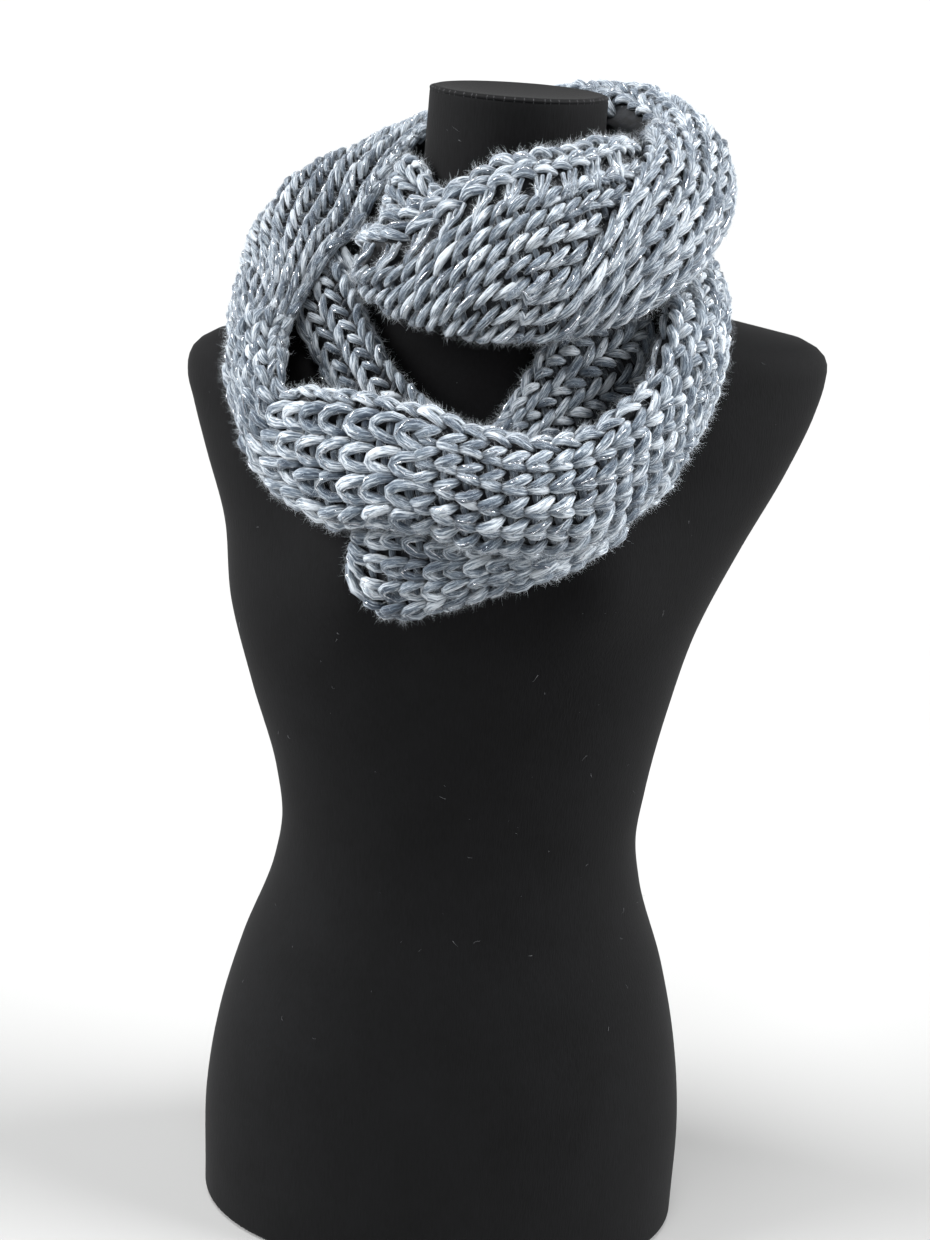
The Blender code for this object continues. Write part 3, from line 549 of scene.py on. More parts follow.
def jersey_finish(name, settings):
    """Matt black stretch jersey: fine upright wales, a little lint and a soft edge sheen."""
    made, tree, shader = new_material(name)
    place = add_node(tree, "ShaderNodeTexCoord").outputs["Object"]
    wales_place = add_node(tree, "ShaderNodeMapping", {
        "Vector": place, "Scale": (900, 900, 120)})
    wales = add_node(tree, "ShaderNodeTexNoise", {
        "Vector": wales_place.outputs["Vector"], "Scale": 1.0, "Detail": 3.0, "Roughness": 0.6})
    dust = add_node(tree, "ShaderNodeTexNoise", {
        "Vector": place, "Scale": 14.0, "Detail": 5.0, "Roughness": 0.7})
    value = mixed(tree, wales.outputs["Fac"], dust.outputs["Fac"], 0.5)
    black = np.array(settings.jersey)
    ramp = add_ramp(tree, value, ((0.36, tuple(black * 0.7)), (0.62, tuple(black * 1.7))))
    tree.links.new(ramp.outputs["Color"], shader.inputs["Base Color"])
    bump = add_node(tree, "ShaderNodeBump", {
        "Height": wales.outputs["Fac"], "Strength": 0.35, "Distance": 0.0006})
    tree.links.new(bump.outputs["Normal"], shader.inputs["Normal"])
    shader.inputs["Roughness"].default_value = 0.85
    shader.inputs["Specular IOR Level"].default_value = 0.12
    shader.inputs["Sheen Weight"].default_value = settings.jersey_sheen
    shader.inputs["Sheen Roughness"].default_value = 0.4
    return made


def floor_finish(name, colour):
    """Pale matt paper with a barely seen unevenness."""
    made, tree, shader = new_material(name)
    place = add_node(tree, "ShaderNodeTexCoord").outputs["Object"]
    patches = add_node(tree, "ShaderNodeTexNoise", {"Vector": place, "Scale": 1.3, "Detail": 3.0})
    duller = tuple(0.97 * part for part in colour)
    ramp = add_ramp(tree, patches.outputs["Fac"], ((0.3, duller), (0.7, tuple(colour))))
    tree.links.new(ramp.outputs["Color"], shader.inputs["Base Color"])
    shader.inputs["Roughness"].default_value = 0.9
    return made


# ---------------------------------------------------------------- the knitting
# What the needles did along each stretch: cm along, pitch of the stitches, radius of the
# yarn, and how far one leg leans over the other (0 an even V, 1 one leg only).
GAUGES = {
    "ladder_rows": ((0, 1.1, 0.24, 0.9), (14, 1.15, 0.26, 0.9), (19, 1.25, 0.265, 0.45),
                    (24, 1.35, 0.26, 0.0), (37, 1.35, 0.26, 0.0)),
    "sweep_rows": ((0, 1.15, 0.24, 0.9), (14, 1.2, 0.26, 0.8), (20, 1.3, 0.265, 0.35),
                   (25, 1.4, 0.26, 0.0), (37, 1.4, 0.26, 0.0)),
    "rungs": ((0, 2.2, 0.165, 0.0), (40, 2.2, 0.165, 0.0)),
    "upper_back": ((0, 1.6, 0.28, 0.0), (28, 1.5, 0.29, 0.0)),
    "left_outer": ((0, 1.15, 0.24, 0.2), (5, 1.1, 0.22, 0.3), (14, 1.05, 0.20, 0.45),
                   (27, 1.05, 0.20, 0.45)),
    "left_turn": ((0, 1.35, 0.28, 0.0), (27, 1.35, 0.28, 0.0)),
    "lower_front": ((0, 1.55, 0.34, 0.0), (8, 1.7, 0.37, 0.0), (33, 1.7, 0.37, 0.0)),
    "lower_right": ((0, 1.5, 0.33, 0.3), (22, 1.5, 0.34, 0.35), (33, 1.35, 0.34, 0.0)),
    "right_outer": ((0, 1.3, 0.35, 0.0), (5, 1.15, 0.345, 0.0), (20, 1.1, 0.34, 0.0)),
    "lower_back": ((0, 1.15, 0.34, 0.0), (25, 1.2, 0.33, 0.0)),
    "inner_left": ((0, 1.15, 0.27, 0.0), (19, 1.15, 0.27, 0.0)),
    "inner_right": ((0, 1.15, 0.30, 0.0), (15, 1.15, 0.30, 0.0)),
    "neck_left": ((0, 1.3, 0.27, 0.0), (15, 1.3, 0.27, 0.0)),
    "corner_fold": ((0, 1.35, 0.295, 0.0), (20, 1.35, 0.295, 0.0)),
    "edge": ((0, 1.6, 0.26, 0.0), (40, 1.6, 0.26, 0.0)),
    "strand": ((0, 2.2, 0.20, 1.0), (40, 2.2, 0.20, 1.0)),
    "selvage": ((0, 2.1, 0.31, 0.0), (14, 2.0, 0.32, 0.0), (20, 1.4, 0.25, 0.0),
                (37, 1.3, 0.24, 0.0)),
}


def crease_at(s):
    """How far across the upper front the crease lies, s cm along."""
    cloth = CLOTHS["upper_front"]
    before = line(LADDER, s) + ROWS_TO_CREASE / cloth.width(s)
    return np.where(s < CREASE[0][0], before, line(CREASE, s))


def crease_relief(s, v):
    """The cloth above the crease sinks towards it, and the first column below it rolls up."""
    cloth = CLOTHS["upper_front"]
    away = (v - crease_at(s)) * cloth.width(s) * 0.75
    reach = np.where(away < 0, CREASE_WIDTH, 0.45 * CREASE_WIDTH)
    sunk = -CREASE_DEPTH * np.exp(-(away / reach) ** 2)
    raised = 0.25 * np.exp(-((away - 1.0) / 0.7) ** 2)
    holes = -0.4 * np.exp(-(((v - line(LADDER, s)) * cloth.width(s)) / 0.45) ** 2)
    fold = (sunk + raised) * np.clip((s - 18) / 3, 0, 1)
    return fold + holes * (v < crease_at(s) - 0.05)


def knot_relief(s, v):
    """The fine columns gather into a ridge where they end."""
    ridge = 0.25 * np.exp(-((s - KNOT_AT) / 0.9) ** 2)
    hollow = 0.2 * np.exp(-((s - KNOT_AT + 1.6) / 0.8) ** 2)
    return ridge - hollow


def flat_relief(s, v):
    """No relief."""
    return np.zeros_like(s * v)


RELIEFS = {"upper_front": crease_relief, "left_outer": knot_relief}


class Column:
    """One column of stitches: where it runs on the cloth, how wide it is and its gauge.

    across and wide are functions of the distance along, and keep says which stitches stay.
    spread opens the V of the two legs, reach lengthens them, and loop leaves them open.
    """

    def __init__(self, stretch, gauge, across, wide, start=0.0, end=None, spread=1.0,
                 keep=None, loop=False, purls=True, reach=1.0):
        self.stretch = stretch
        self.cloth = CLOTHS[stretch]
        self.gauge = np.array(GAUGES[gauge], float)
        self.across = across
        self.wide = wide
        self.start = start
        self.end = self.cloth.length if end is None else end
        self.spread = spread
        self.keep = keep
        self.loop = loop
        self.reach = reach
        self.purls = purls
        self.relief = RELIEFS.get(stretch, flat_relief)
        self.phase = 7.1 * float(across(np.array([3.0]))[0])

    def read(self, s, which):
        """The gauge s cm along: 1 the pitch, 2 the yarn's radius, 3 the lean."""
        return np.interp(s, self.gauge[:, 0], self.gauge[:, which])

    def stitches(self):
        """Where each stitch of the column starts, in cm along, spaced to fill the column."""
        found, s = [], self.start
        while s < self.end - 0.5 * self.read(s, 1):
            found.append(s)
            s += float(self.read(s, 1))
        stretched = (np.array(found) - self.start) * (self.end - self.start) / (s - self.start)
        found = self.start + stretched
        if self.keep is not None and len(found):
            found = found[self.keep(found, self.across(found))]
        return found

    def place(self, s, b, lift):
        """Points b cm out from the column's middle, lift cm over the cloth."""
        s = np.clip(s, 0, self.cloth.length)
        b = b + 0.09 * np.sin(s * 0.83 + self.phase)
        lift = lift + 0.07 * np.sin(s * 1.31 + 2.3 * self.phase)
        v = self.across(s) + b / self.cloth.width(s)
        over = np.maximum(np.maximum(-v, v - 1), 0) * self.cloth.width(s)
        v = np.clip(v, 0, 1)
        points, out = self.cloth.at(s, v)
        lift = lift + self.relief(s, v) - 0.8 * over
        return points + out * lift[..., None], out


def steady(value):
    """A measure that stays the same all along a stretch."""
    return lambda s: np.full_like(s, value)


def upper_front_columns():
    """Two plain strands above the ladder, then the columns above and below the crease."""
    name = "upper_front"
    cloth = CLOTHS[name]
    found = []

    def above_row(s, row):
        """Where a column above the crease runs, counted from the ladder."""
        first = np.interp(s, *zip(*FIRST_ROW))
        return line(LADDER, s) + (first + LADDER_ROWS["gap"] * row) / cloth.width(s)

    def above_crease(s, v, row):
        """Whether a stitch ends before the crease does."""
        ahead = s + STITCH_AHEAD
        foot = crease_at(ahead) + CREASE_OVERLAP / cloth.width(ahead)
        return (v < LOWEST_ROW) & (above_row(ahead, row) < foot)

    def below_row(s, row):
        """Where a column below the crease runs, counted from the crease."""
        down = SWEEP_ROWS["first"] + SWEEP_ROWS["gap"] * row
        return crease_at(s) + down / cloth.width(s)

    for part in PLAIN_STRANDS["middles"]:
        found.append(Column(
            name, "selvage", lambda s, part=part: line(LADDER, s) * part,
            lambda s: line(LADDER, s) * cloth.width(s) * PLAIN_STRANDS["wide"],
            spread=0.75, purls=False,
            # Painted shade: no strands in the hollow beside the neck, where the bare backing shows
            # dark.
            keep=lambda s, v: (v < crease_at(s) - 0.02) & (s < SHADED_HOLLOW["front"])))
    for row in range(LADDER_ROWS["count"]):
        found.append(Column(
            name, "ladder_rows", lambda s, row=row: above_row(s, row),
            steady(LADDER_ROWS["wide"]), reach=1.12,
            keep=lambda s, v, row=row: above_crease(s, v, row)))
    for row in range(SWEEP_ROWS["count"]):
        found.append(Column(
            name, "sweep_rows", lambda s, row=row: below_row(s, row),
            steady(SWEEP_ROWS["wide"]), reach=1.25, spread=0.85,
            keep=lambda s, v: v < LOWEST_ROW))
    return found


def outside_shaded_hollow(s, v):
    """Whether a stitch of the upper back lies clear of the hollow beside the neck, where the bare
    backing is left as painted shade.
    """
    return (s > SHADED_HOLLOW["back"]) | (v > SHADED_HOLLOW["across"])


def columns_of(name):
    """The columns of stitches that a stretch shows, from the edge at the neck down."""
    if name == "upper_front":
        return upper_front_columns()
    cloth = CLOTHS[name]
    count = STRETCHES[name][3]
    edge = SELVAGES.get(name, 0.0) / cloth.widths.max()
    clear = outside_shaded_hollow if name == "upper_back" else None
    end = {"left_outer": KNOT_AT, "lower_front": LOOPS_END}.get(name)

    def middle(row, rows):
        """Where one of a number of even columns runs."""
        return steady(edge + (1 - edge) * (row + 0.5) / rows)

    def share(s):
        """How wide such a column is."""
        return np.minimum(cloth.width(s) / count, WIDEST.get(name, USUAL_WIDEST))

    found = [Column(name, name, middle(row, count), share, end=end, keep=clear,
                    loop=name in OPEN_STRETCHES, reach=REACHES.get(name, 1.0))
             for row in range(count)]
    if name == "lower_front":
        found += [Column(name, "lower_right", middle(row, RIGHT_COLUMNS),
                         lambda s: cloth.width(s) * (1 - edge) / RIGHT_COLUMNS,
                         start=LOOPS_END - OVERLAP, spread=1.12)
                  for row in range(RIGHT_COLUMNS)]
    if name == "left_outer":
        found += [Column(name, "left_turn", middle(row, TURN_COLUMNS),
                         lambda s: cloth.width(s) / TURN_COLUMNS, start=KNOT_AT - OVERLAP)
                  for row in range(TURN_COLUMNS)]
    if name == "right_outer":
        found.append(Column(name, "strand", steady(0.0), steady(0.25), purls=False))
    else:
        wide = max(0.9, 0.85 * SELVAGES.get(name, 0.0))
        found.append(Column(name, "edge", steady(0.45 * edge), steady(wide), spread=0.9,
                            purls=False, keep=clear))
    found.append(Column(name, "edge", steady(1.0), steady(0.8), spread=0.9, purls=False))
    return found


def leg_paths(column, dice, rings):
    """Paths, outward directions and radii of the two legs of every stitch of a column."""
    starts = column.stitches()
    t = np.linspace(0, len(LEG) - 1, rings)
    on, out, rise, thick = smooth(np.arange(float(len(LEG))), LEG, t).T
    size = len(starts)
    paths, ups, radii = [], [], []
    for side in (-1, 1):
        pitch = column.read(starts, 1)[:, None] * dice.uniform(0.92, 1.08, (size, 1))
        yarn = column.read(starts, 2)[:, None] * dice.uniform(0.88, 1.1, (size, 1))
        lean = column.read(starts, 3)[:, None]
        wide = column.wide(starts)[:, None]
        even = side * out * wide * column.spread
        slant = LEAN_REACH * (1 - 2 * t / (len(LEG) - 1)) * wide
        b = even * (1 - lean) + slant * lean + dice.uniform(-0.07, 0.07, (size, 1))
        hidden = lean * (side > 0)
        lift = rise * yarn - hidden * 0.9 * yarn + dice.uniform(-0.06, 0.06, (size, 1))
        s = (starts[:, None] + on * pitch * column.reach * (1 - 0.2 * lean)
             + dice.uniform(-0.08, 0.08, (size, 1)))
        points, normals = column.place(s, b, lift)
        paths.append(points)
        ups.append(normals)
        radii.append(yarn * thick * (1 - 0.25 * hidden))
    return np.concatenate(paths), np.concatenate(ups), np.concatenate(radii)


def loop_paths(column, dice, rings):
    """Paths, outward directions and radii of open stitches: both legs and the bend between."""
    starts = column.stitches()
    t = np.linspace(1 - len(LOOP), len(LOOP) - 1, rings)
    on, out, rise, thick = smooth(np.arange(float(len(LOOP))), LOOP, np.abs(t)).T
    size = len(starts)
    pitch = column.read(starts, 1)[:, None] * dice.uniform(0.92, 1.08, (size, 1))
    yarn = column.read(starts, 2)[:, None] * dice.uniform(0.9, 1.1, (size, 1))
    wide = column.wide(starts)[:, None] * dice.uniform(0.86, 1.1, (size, 1))
    b = np.sign(t) * out * wide + dice.uniform(-0.08, 0.08, (size, 1))
    lift = (rise * yarn + dice.uniform(-0.06, 0.06, (size, 1))
            - np.tanh(t) * dice.uniform(-0.04, 0.22, (size, 1)))
    s = starts[:, None] + on * pitch + dice.uniform(-0.12, 0.12, (size, 1))
    s = s + t / len(LOOP) * dice.uniform(-0.35, 0.25, (size, 1))
    points, normals = column.place(s, b, lift)
    return points, normals, yarn * thick


def purl_paths(column, middle, rings=5):
    """Short loops across the cloth, `middle` of a column's width out from it, one a stitch."""
    starts = column.stitches()
    t = np.linspace(-1, 1, rings)
    wide = column.wide(starts)[:, None]
    yarn = column.read(starts, 2)[:, None]
    b = middle * wide + t * 0.32 * np.minimum(wide, 1.6)
    lift = -0.36 * yarn - 0.35 * yarn * t**2 + 0 * b
    if column.loop:
        lift = lift + 0.25 * yarn
    on = 0.35 if middle else 0.6
    s = starts[:, None] + on * column.read(starts, 1)[:, None] + 0.12 * t
    points, normals = column.place(s, b, lift)
    thick = 0.85 if column.loop else 0.75
    return points, normals, thick * yarn * (1 - 0.35 * t**2)


def rung_paths(dice, rings):
    """The threads of the ladder, three to a bar, with a hole after each bar."""
    column = Column("upper_front", "rungs", lambda s: line(LADDER, s) + 0.012, steady(1.0),
                    keep=lambda s, v: (v < crease_at(s) - 0.03) & (s > 4) & (s < 24))
    starts = np.repeat(column.stitches(), 3)
    t = np.linspace(-1, 1, rings)
    strand = (np.arange(len(starts)) % 3 - 1.0)[:, None]
    s = (starts[:, None] + 0.75 + strand * 0.33 - (0.30 + strand * 0.22) * t
         + dice.uniform(-0.06, 0.06, (len(starts), 1)))
    lift = 0.22 * (1 - t**2) + 0.04 + 0.06 * strand + 0 * s
    points, normals = column.place(s, 0.95 * t + 0.1 + 0 * s, lift)
    return points, normals, column.read(s, 2) * (1 - 0.15 * t**2)


def tuck_paths(rings):
    """Strands tucked into the fold where the inner turn comes out from under the upper one."""
    ends = np.array(TUCKS)
    t = np.linspace(0, 1, rings)
    paths = ends[:, :1] * (1 - t)[None, :, None] + ends[:, 1:] * t[None, :, None]
    belly = np.sin(math.pi * t)
    paths[..., 1] -= TUCK_BELLY * belly
    ups = np.broadcast_to((0.0, -1.0, 0.0), paths.shape)
    return paths, ups, np.broadcast_to(TUCK_RADIUS * (0.6 + 0.4 * belly), paths.shape[:2])


# ---------------------------------------------------------------- the pieces' shapes
def stitch_piece(name, settings, dice, finish):
    """Every stitch of a stretch, as plump plied yarn."""
    lots = []
    rings = RINGS.get(name, USUAL_RINGS)
    for column in columns_of(name):
        if len(column.stitches()):
            lots.append(loop_paths(column, dice, rings) if column.loop
                        else leg_paths(column, dice, rings))
    if name == "upper_front":
        lots.append(rung_paths(dice, rings))
    if name == "inner_left":
        lots.append(tuck_paths(rings))
    paths, ups, radii = (np.concatenate(part) for part in zip(*lots))
    radii = radii * settings.yarn_thickness
    verts, faces, uvs = tube_mesh(paths, radii, ups, SIDES, lobes=3, lobe_rise=0.12, twist=1.0,
                                  rough=0.045)
    tones = np.clip(dice.normal(0.5, 0.11, len(paths)), 0.25, 0.72)
    tones = np.repeat(tones, paths.shape[1] * SIDES)
    return make_mesh("stitches_" + name, verts, faces, finish, uvs, tones), paths, ups, radii


def purl_piece(name, finish):
    """The purl loops down between the columns."""
    lots = [purl_paths(column, middle) for column in columns_of(name)
            if column.purls and len(column.stitches())
            for middle in ((0.0, 0.5) if column.loop else (0.5,))]
    paths, ups, radii = (np.concatenate(part) for part in zip(*lots))
    verts, faces, uvs = tube_mesh(paths, radii, ups, PURL_SIDES)
    # Painted shade: every loop down between the columns gets the same darker tone.
    tones = np.full(len(verts), PURL_SHADE_TONE)
    return make_mesh("purls_" + name, verts, faces, finish, uvs, tones)


def backing_shell(name, finish):
    """The cloth under the stitches: a closed shell from its purl side to its face."""
    cloth = CLOTHS[name]
    along = np.linspace(0.1, cloth.length - 0.1, 64)
    across = np.linspace(0, 1, 21)
    s, v = np.meshgrid(along, across, indexing="ij")
    relief = RELIEFS.get(name, flat_relief)(s, v)
    points, out = cloth.at(s, v)
    face = points + out * (relief - BACKING_TOP)[..., None]
    back = points + out * (np.minimum(relief, 0) * 0.5 - WALL)[..., None]
    back = np.where(((face - back) * out).sum(axis=2, keepdims=True) < 0.1, face - out * 0.12, back)
    rows, columns = len(along), len(across)
    rings = np.concatenate([face, back[:, ::-1]], axis=1)
    verts = rings.reshape(-1, 3)
    faces = grid_faces(rows, 2 * columns)[:, ::-1].tolist()
    faces.append(list(range(2 * columns)))
    faces.append([(rows - 1) * 2 * columns + part for part in range(2 * columns)][::-1])
    made = make_mesh("cloth_" + name, verts, faces, finish)
    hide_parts(name)
    return made


def form_shape():
    """The dress form in fine rings, from its base to its dished neck."""
    keys = [row[0] for row in FORM_SECTIONS]
    rows = [row[1:] for row in FORM_SECTIONS]

    def ring(height, inset=0.0):
        """One level ring of the form, with the bust, set in by a little."""
        half_width, half_depth, mid_x, mid_y, square, tilt = smooth(keys, rows, height)[0]
        angle = np.linspace(0, math.tau, FORM_AROUND, endpoint=False)
        along, across = np.cos(angle), np.sin(angle)
        x = np.copysign(np.abs(along) ** (2 / square), along) * (half_width - inset)
        y = np.copysign(np.abs(across) ** (2 / square), across) * (half_depth - inset) + mid_y
        for side in (-1, 1):
            away = ((x - side * BUST["spread"]) / BUST["width"]) ** 2
            away = away + ((height - BUST["height"]) / BUST["length"]) ** 2
            y = y - (across < 0) * BUST["rise"] * np.exp(-away) * np.abs(across)
        return np.stack([x + mid_x, y, height + tilt * x], axis=1)

    foot, top = keys[0], keys[-1]
    turns = np.radians(np.linspace(90, 0, 10))[:-1]
    rings = [ring(foot, RIM_RADIUS * (1 - math.cos(turn))) - (0, 0, RIM_RADIUS * math.sin(turn))
             for turn in turns]
    rings += [ring(height) for height in np.linspace(foot, top, FORM_RINGS)]
    for turn in np.radians(np.linspace(12, 90, 8)):
        inset = NECK_RIM_RADIUS * (1 - math.cos(turn))
        rings.append(ring(top, inset) + (0, 0, NECK_RIM_RADIUS * math.sin(turn)))
    inner = ring(top, NECK_RIM_RADIUS)
    middle = inner.mean(axis=0)
    for part in (0.97, 0.92, 0.85, 0.7, 0.5, 0.3, 0.12):
        shrunk = middle + (inner - middle) * part
        shrunk[:, 2] = top + NECK_RIM_RADIUS - NECK_DISH * (1 - part**2)
        rings.append(shrunk)
    verts = np.concatenate(rings)
    faces = grid_faces(len(rings), FORM_AROUND).tolist()
    faces.append(list(range(FORM_AROUND))[::-1])
    faces.append([(len(rings) - 1) * FORM_AROUND + part for part in range(FORM_AROUND)])
    return verts, faces, rings


def hair_mesh(name, roots, ways, ups, reach, radii, finish):
    """Fine three-sided fibres that end in a point."""
    side = unit(np.cross(ways, ups))
    other = np.cross(ways, side)
    turns = np.radians((0.0, 120.0, 240.0))[None, :, None]
    ring = radii[:, :, None] * (np.cos(turns) * side[:, None] + np.sin(turns) * other[:, None])
    tips = (roots + ways * reach)[:, None]
    verts = np.concatenate([roots[:, None] + ring, tips], axis=1).reshape(-1, 3)
    corners = np.array([(0, 2, 1), (0, 1, 3), (1, 2, 3), (2, 0, 3)])
    faces = (4 * np.arange(len(roots))[:, None, None] + corners).reshape(-1, 3)
    return make_mesh(name, verts, faces.tolist(), finish)


def scattered_hairs(places, ups, along, dice, length, radius, lift):
    """Short curved fibres that start on a surface and wander off it."""
    count = len(places)
    drift = unit(along * dice.uniform(-1, 1, (count, 1)) + ups * dice.uniform(*lift, (count, 1))
                 + dice.normal(0, 0.35, (count, 3)))
    curl = unit(dice.normal(0, 1, (count, 3)))
    reach = dice.uniform(*length, (count, 1))
    steps = np.linspace(0, 1, 4)
    paths = np.stack([places + drift * reach * step + curl * reach * 0.35 * step**2
                      - ups * reach * 0.25 * step**2 for step in steps], axis=1)
    radii = dice.uniform(*radius, (count, 1)) * np.linspace(1, 0.35, len(steps))
    return paths, np.repeat(ups[:, None], len(steps), axis=1), radii


# ---------------------------------------------------------------- sizes and colours
class ScarfYarn(bpy.types.PropertyGroup):
    """The yarn's thickness and colours, and what is spun and worn into it"""
    yarn_thickness: bpy.props.FloatProperty(
        name="Yarn thickness", description="Thickness of the yarn, as a part of the measured one",
        default=1.0, min=0.7, max=1.2, subtype="FACTOR")
    dark_yarn: bpy.props.FloatVectorProperty(
        name="Dark fibres", description="Colour of the darkest fibres in the yarn",
        default=(0.034, 0.048, 0.070), min=0, max=1, subtype="COLOR")
    middle_yarn: bpy.props.FloatVectorProperty(
        name="Yarn", description="Main colour of the yarn",
        default=(0.140, 0.175, 0.214), min=0, max=1, subtype="COLOR")
    light_yarn: bpy.props.FloatVectorProperty(
        name="Light fibres", description="Colour of the palest fibres in the yarn",
        default=(0.55, 0.595, 0.64), min=0, max=1, subtype="COLOR")
    tone_share: bpy.props.FloatProperty(
        name="Stitch to stitch", description="How much whole stitches differ in tone",
        default=0.20, min=0, max=1, subtype="FACTOR")
    silver_share: bpy.props.FloatProperty(
        name="Silver thread", description="Part of the stitches that show a silver filament",
        default=0.45, min=0, max=1, subtype="FACTOR")
    fuzz_count: bpy.props.IntProperty(
        name="Fuzz", description="Loose fibres over the whole scarf", default=86000,
        min=0, max=90000)


class ScarfForm(bpy.types.PropertyGroup):
    """The dress form's cover"""
    jersey: bpy.props.FloatVectorProperty(
        name="Jersey", description="Colour of the form's cover",
        default=(0.0021, 0.0022, 0.0025), min=0, max=1, subtype="COLOR")
    jersey_sheen: bpy.props.FloatProperty(
        name="Sheen", description="Soft sheen at the edges of the form", default=0.02,
        min=0, max=1, subtype="FACTOR")
    lint_count: bpy.props.IntProperty(
        name="Lint", description="Fibres caught on the form's cover", default=260, min=0, max=2000)


class ScarfStage(bpy.types.PropertyGroup):
    """The floor and the lights"""
    floor_colour: bpy.props.FloatVectorProperty(
        name="Floor", description="Colour of the floor", default=(0.325, 0.326, 0.325),
        min=0, max=1, subtype="COLOR")
    key_strength: bpy.props.FloatProperty(
        name="Key light", description="Strength of the soft light above and in front",
        default=2.4, min=0, max=20)
    side_strength: bpy.props.FloatProperty(
        name="Side lights", description="Strength of the soft light from either side",
        default=6.8, min=0, max=20)
    room_light: bpy.props.FloatProperty(
        name="Ceiling", description="Brightness of the ceiling beside the walls", default=0.13,
        min=0, max=5)


# ---------------------------------------------------------------- operators
class SCARF_OT_form(bpy.types.Operator):
    """Covers the dress form in black jersey"""
    bl_idname = "scarf.form"
    bl_label = "Dress form"

    def execute(self, context):
        settings = context.scene.scarf_form
        finish = jersey_finish("form_jersey", settings)
        verts, faces, rings = form_shape()
        made = make_mesh("form_cover", verts, faces, finish)
        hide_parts("dress_form")
        self.lint(settings.lint_count, np.array(rings[slice(*LINT_RINGS)]))
        return {"FINISHED"}

    @staticmethod
    def lint(count, grid):
        """Short pale fibres here and there on the cover, which lie nearly flat."""
        dice = np.random.default_rng(11)
        ring = dice.integers(0, len(grid), count)
        step = dice.integers(0, FORM_AROUND, count)
        spots = grid[ring, step]
        middle = grid[ring].mean(axis=1)
        ups = unit((spots - middle) * (1, 2, 0.1))
        paths, sides, radii = scattered_hairs(
            spots + ups * 0.01, ups, unit(dice.normal(0, 1, spots.shape)), dice,
            (0.15, 0.55), (0.006, 0.011), (0.0, 0.15))
        verts, faces, uvs = tube_mesh(paths, radii, sides, 3)
        make_mesh("form_lint", verts, faces, fuzz_finish("lint", (0.17, 0.175, 0.185)))


class SCARF_OT_neck_seam(bpy.types.Operator):
    """Sews the neck's top edge: a fine roll with stitches along its front"""
    bl_idname = "scarf.neck_seam"
    bl_label = "Neck seam"

    INSET = 0.08            # how far the roll sits in from the neck's side
    ROLL_POINTS = 97
    ROLL_RISE = 0.26
    ROLL_RADIUS = 0.10
    STITCHES = 30           # sewing stitches along the front
    THREAD_RADIUS = 0.022

    def execute(self, context):
        height, half_width, half_depth, mid_x, mid_y = FORM_SECTIONS[-1][:5]
        wide, deep = half_width - self.INSET, half_depth - self.INSET
        angle = np.linspace(0, math.tau, self.ROLL_POINTS)
        rim = np.stack([mid_x + wide * np.cos(angle), mid_y + deep * np.sin(angle),
                        np.full(self.ROLL_POINTS, height + self.ROLL_RISE)], axis=1)
        up = unit(np.stack([np.cos(angle), np.sin(angle), np.full_like(angle, 0.3)], axis=1))
        radii = np.full((1, self.ROLL_POINTS), self.ROLL_RADIUS)
        verts, faces, uvs = tube_mesh(rim[None], radii, up[None], 10)
        make_mesh("neck_roll", verts, faces,
                  jersey_finish("neck_roll", context.scene.scarf_form))
        dice = np.random.default_rng(12)
        turns = np.linspace(185, 355, self.STITCHES) + dice.uniform(-1.5, 1.5, self.STITCHES)
        turns = np.radians(turns)
        heights = np.linspace(0.10, 0.42, 4)
        reach = np.array([0.02, 0.075, 0.075, 0.0])
        paths = []
        for turn in turns:
            lean = turn + dice.uniform(-0.03, 0.03) * (heights - heights[0])
            paths.append(np.stack([mid_x + (wide + reach) * np.cos(lean),
                                   mid_y + (deep + reach) * np.sin(lean),
                                   height + heights], axis=1))
        paths = np.array(paths)
        ups = unit(np.stack([np.cos(turns), np.sin(turns), 0 * turns], axis=1))
        ups = np.repeat(ups[:, None], len(heights), axis=1)
        radii = np.full(paths.shape[:2], self.THREAD_RADIUS)
        verts, faces, uvs = tube_mesh(paths, radii, ups, 5)
        make_mesh("neck_stitches", verts, faces, fuzz_finish("neck_stitches", (0.03, 0.03, 0.033)))
        return {"FINISHED"}


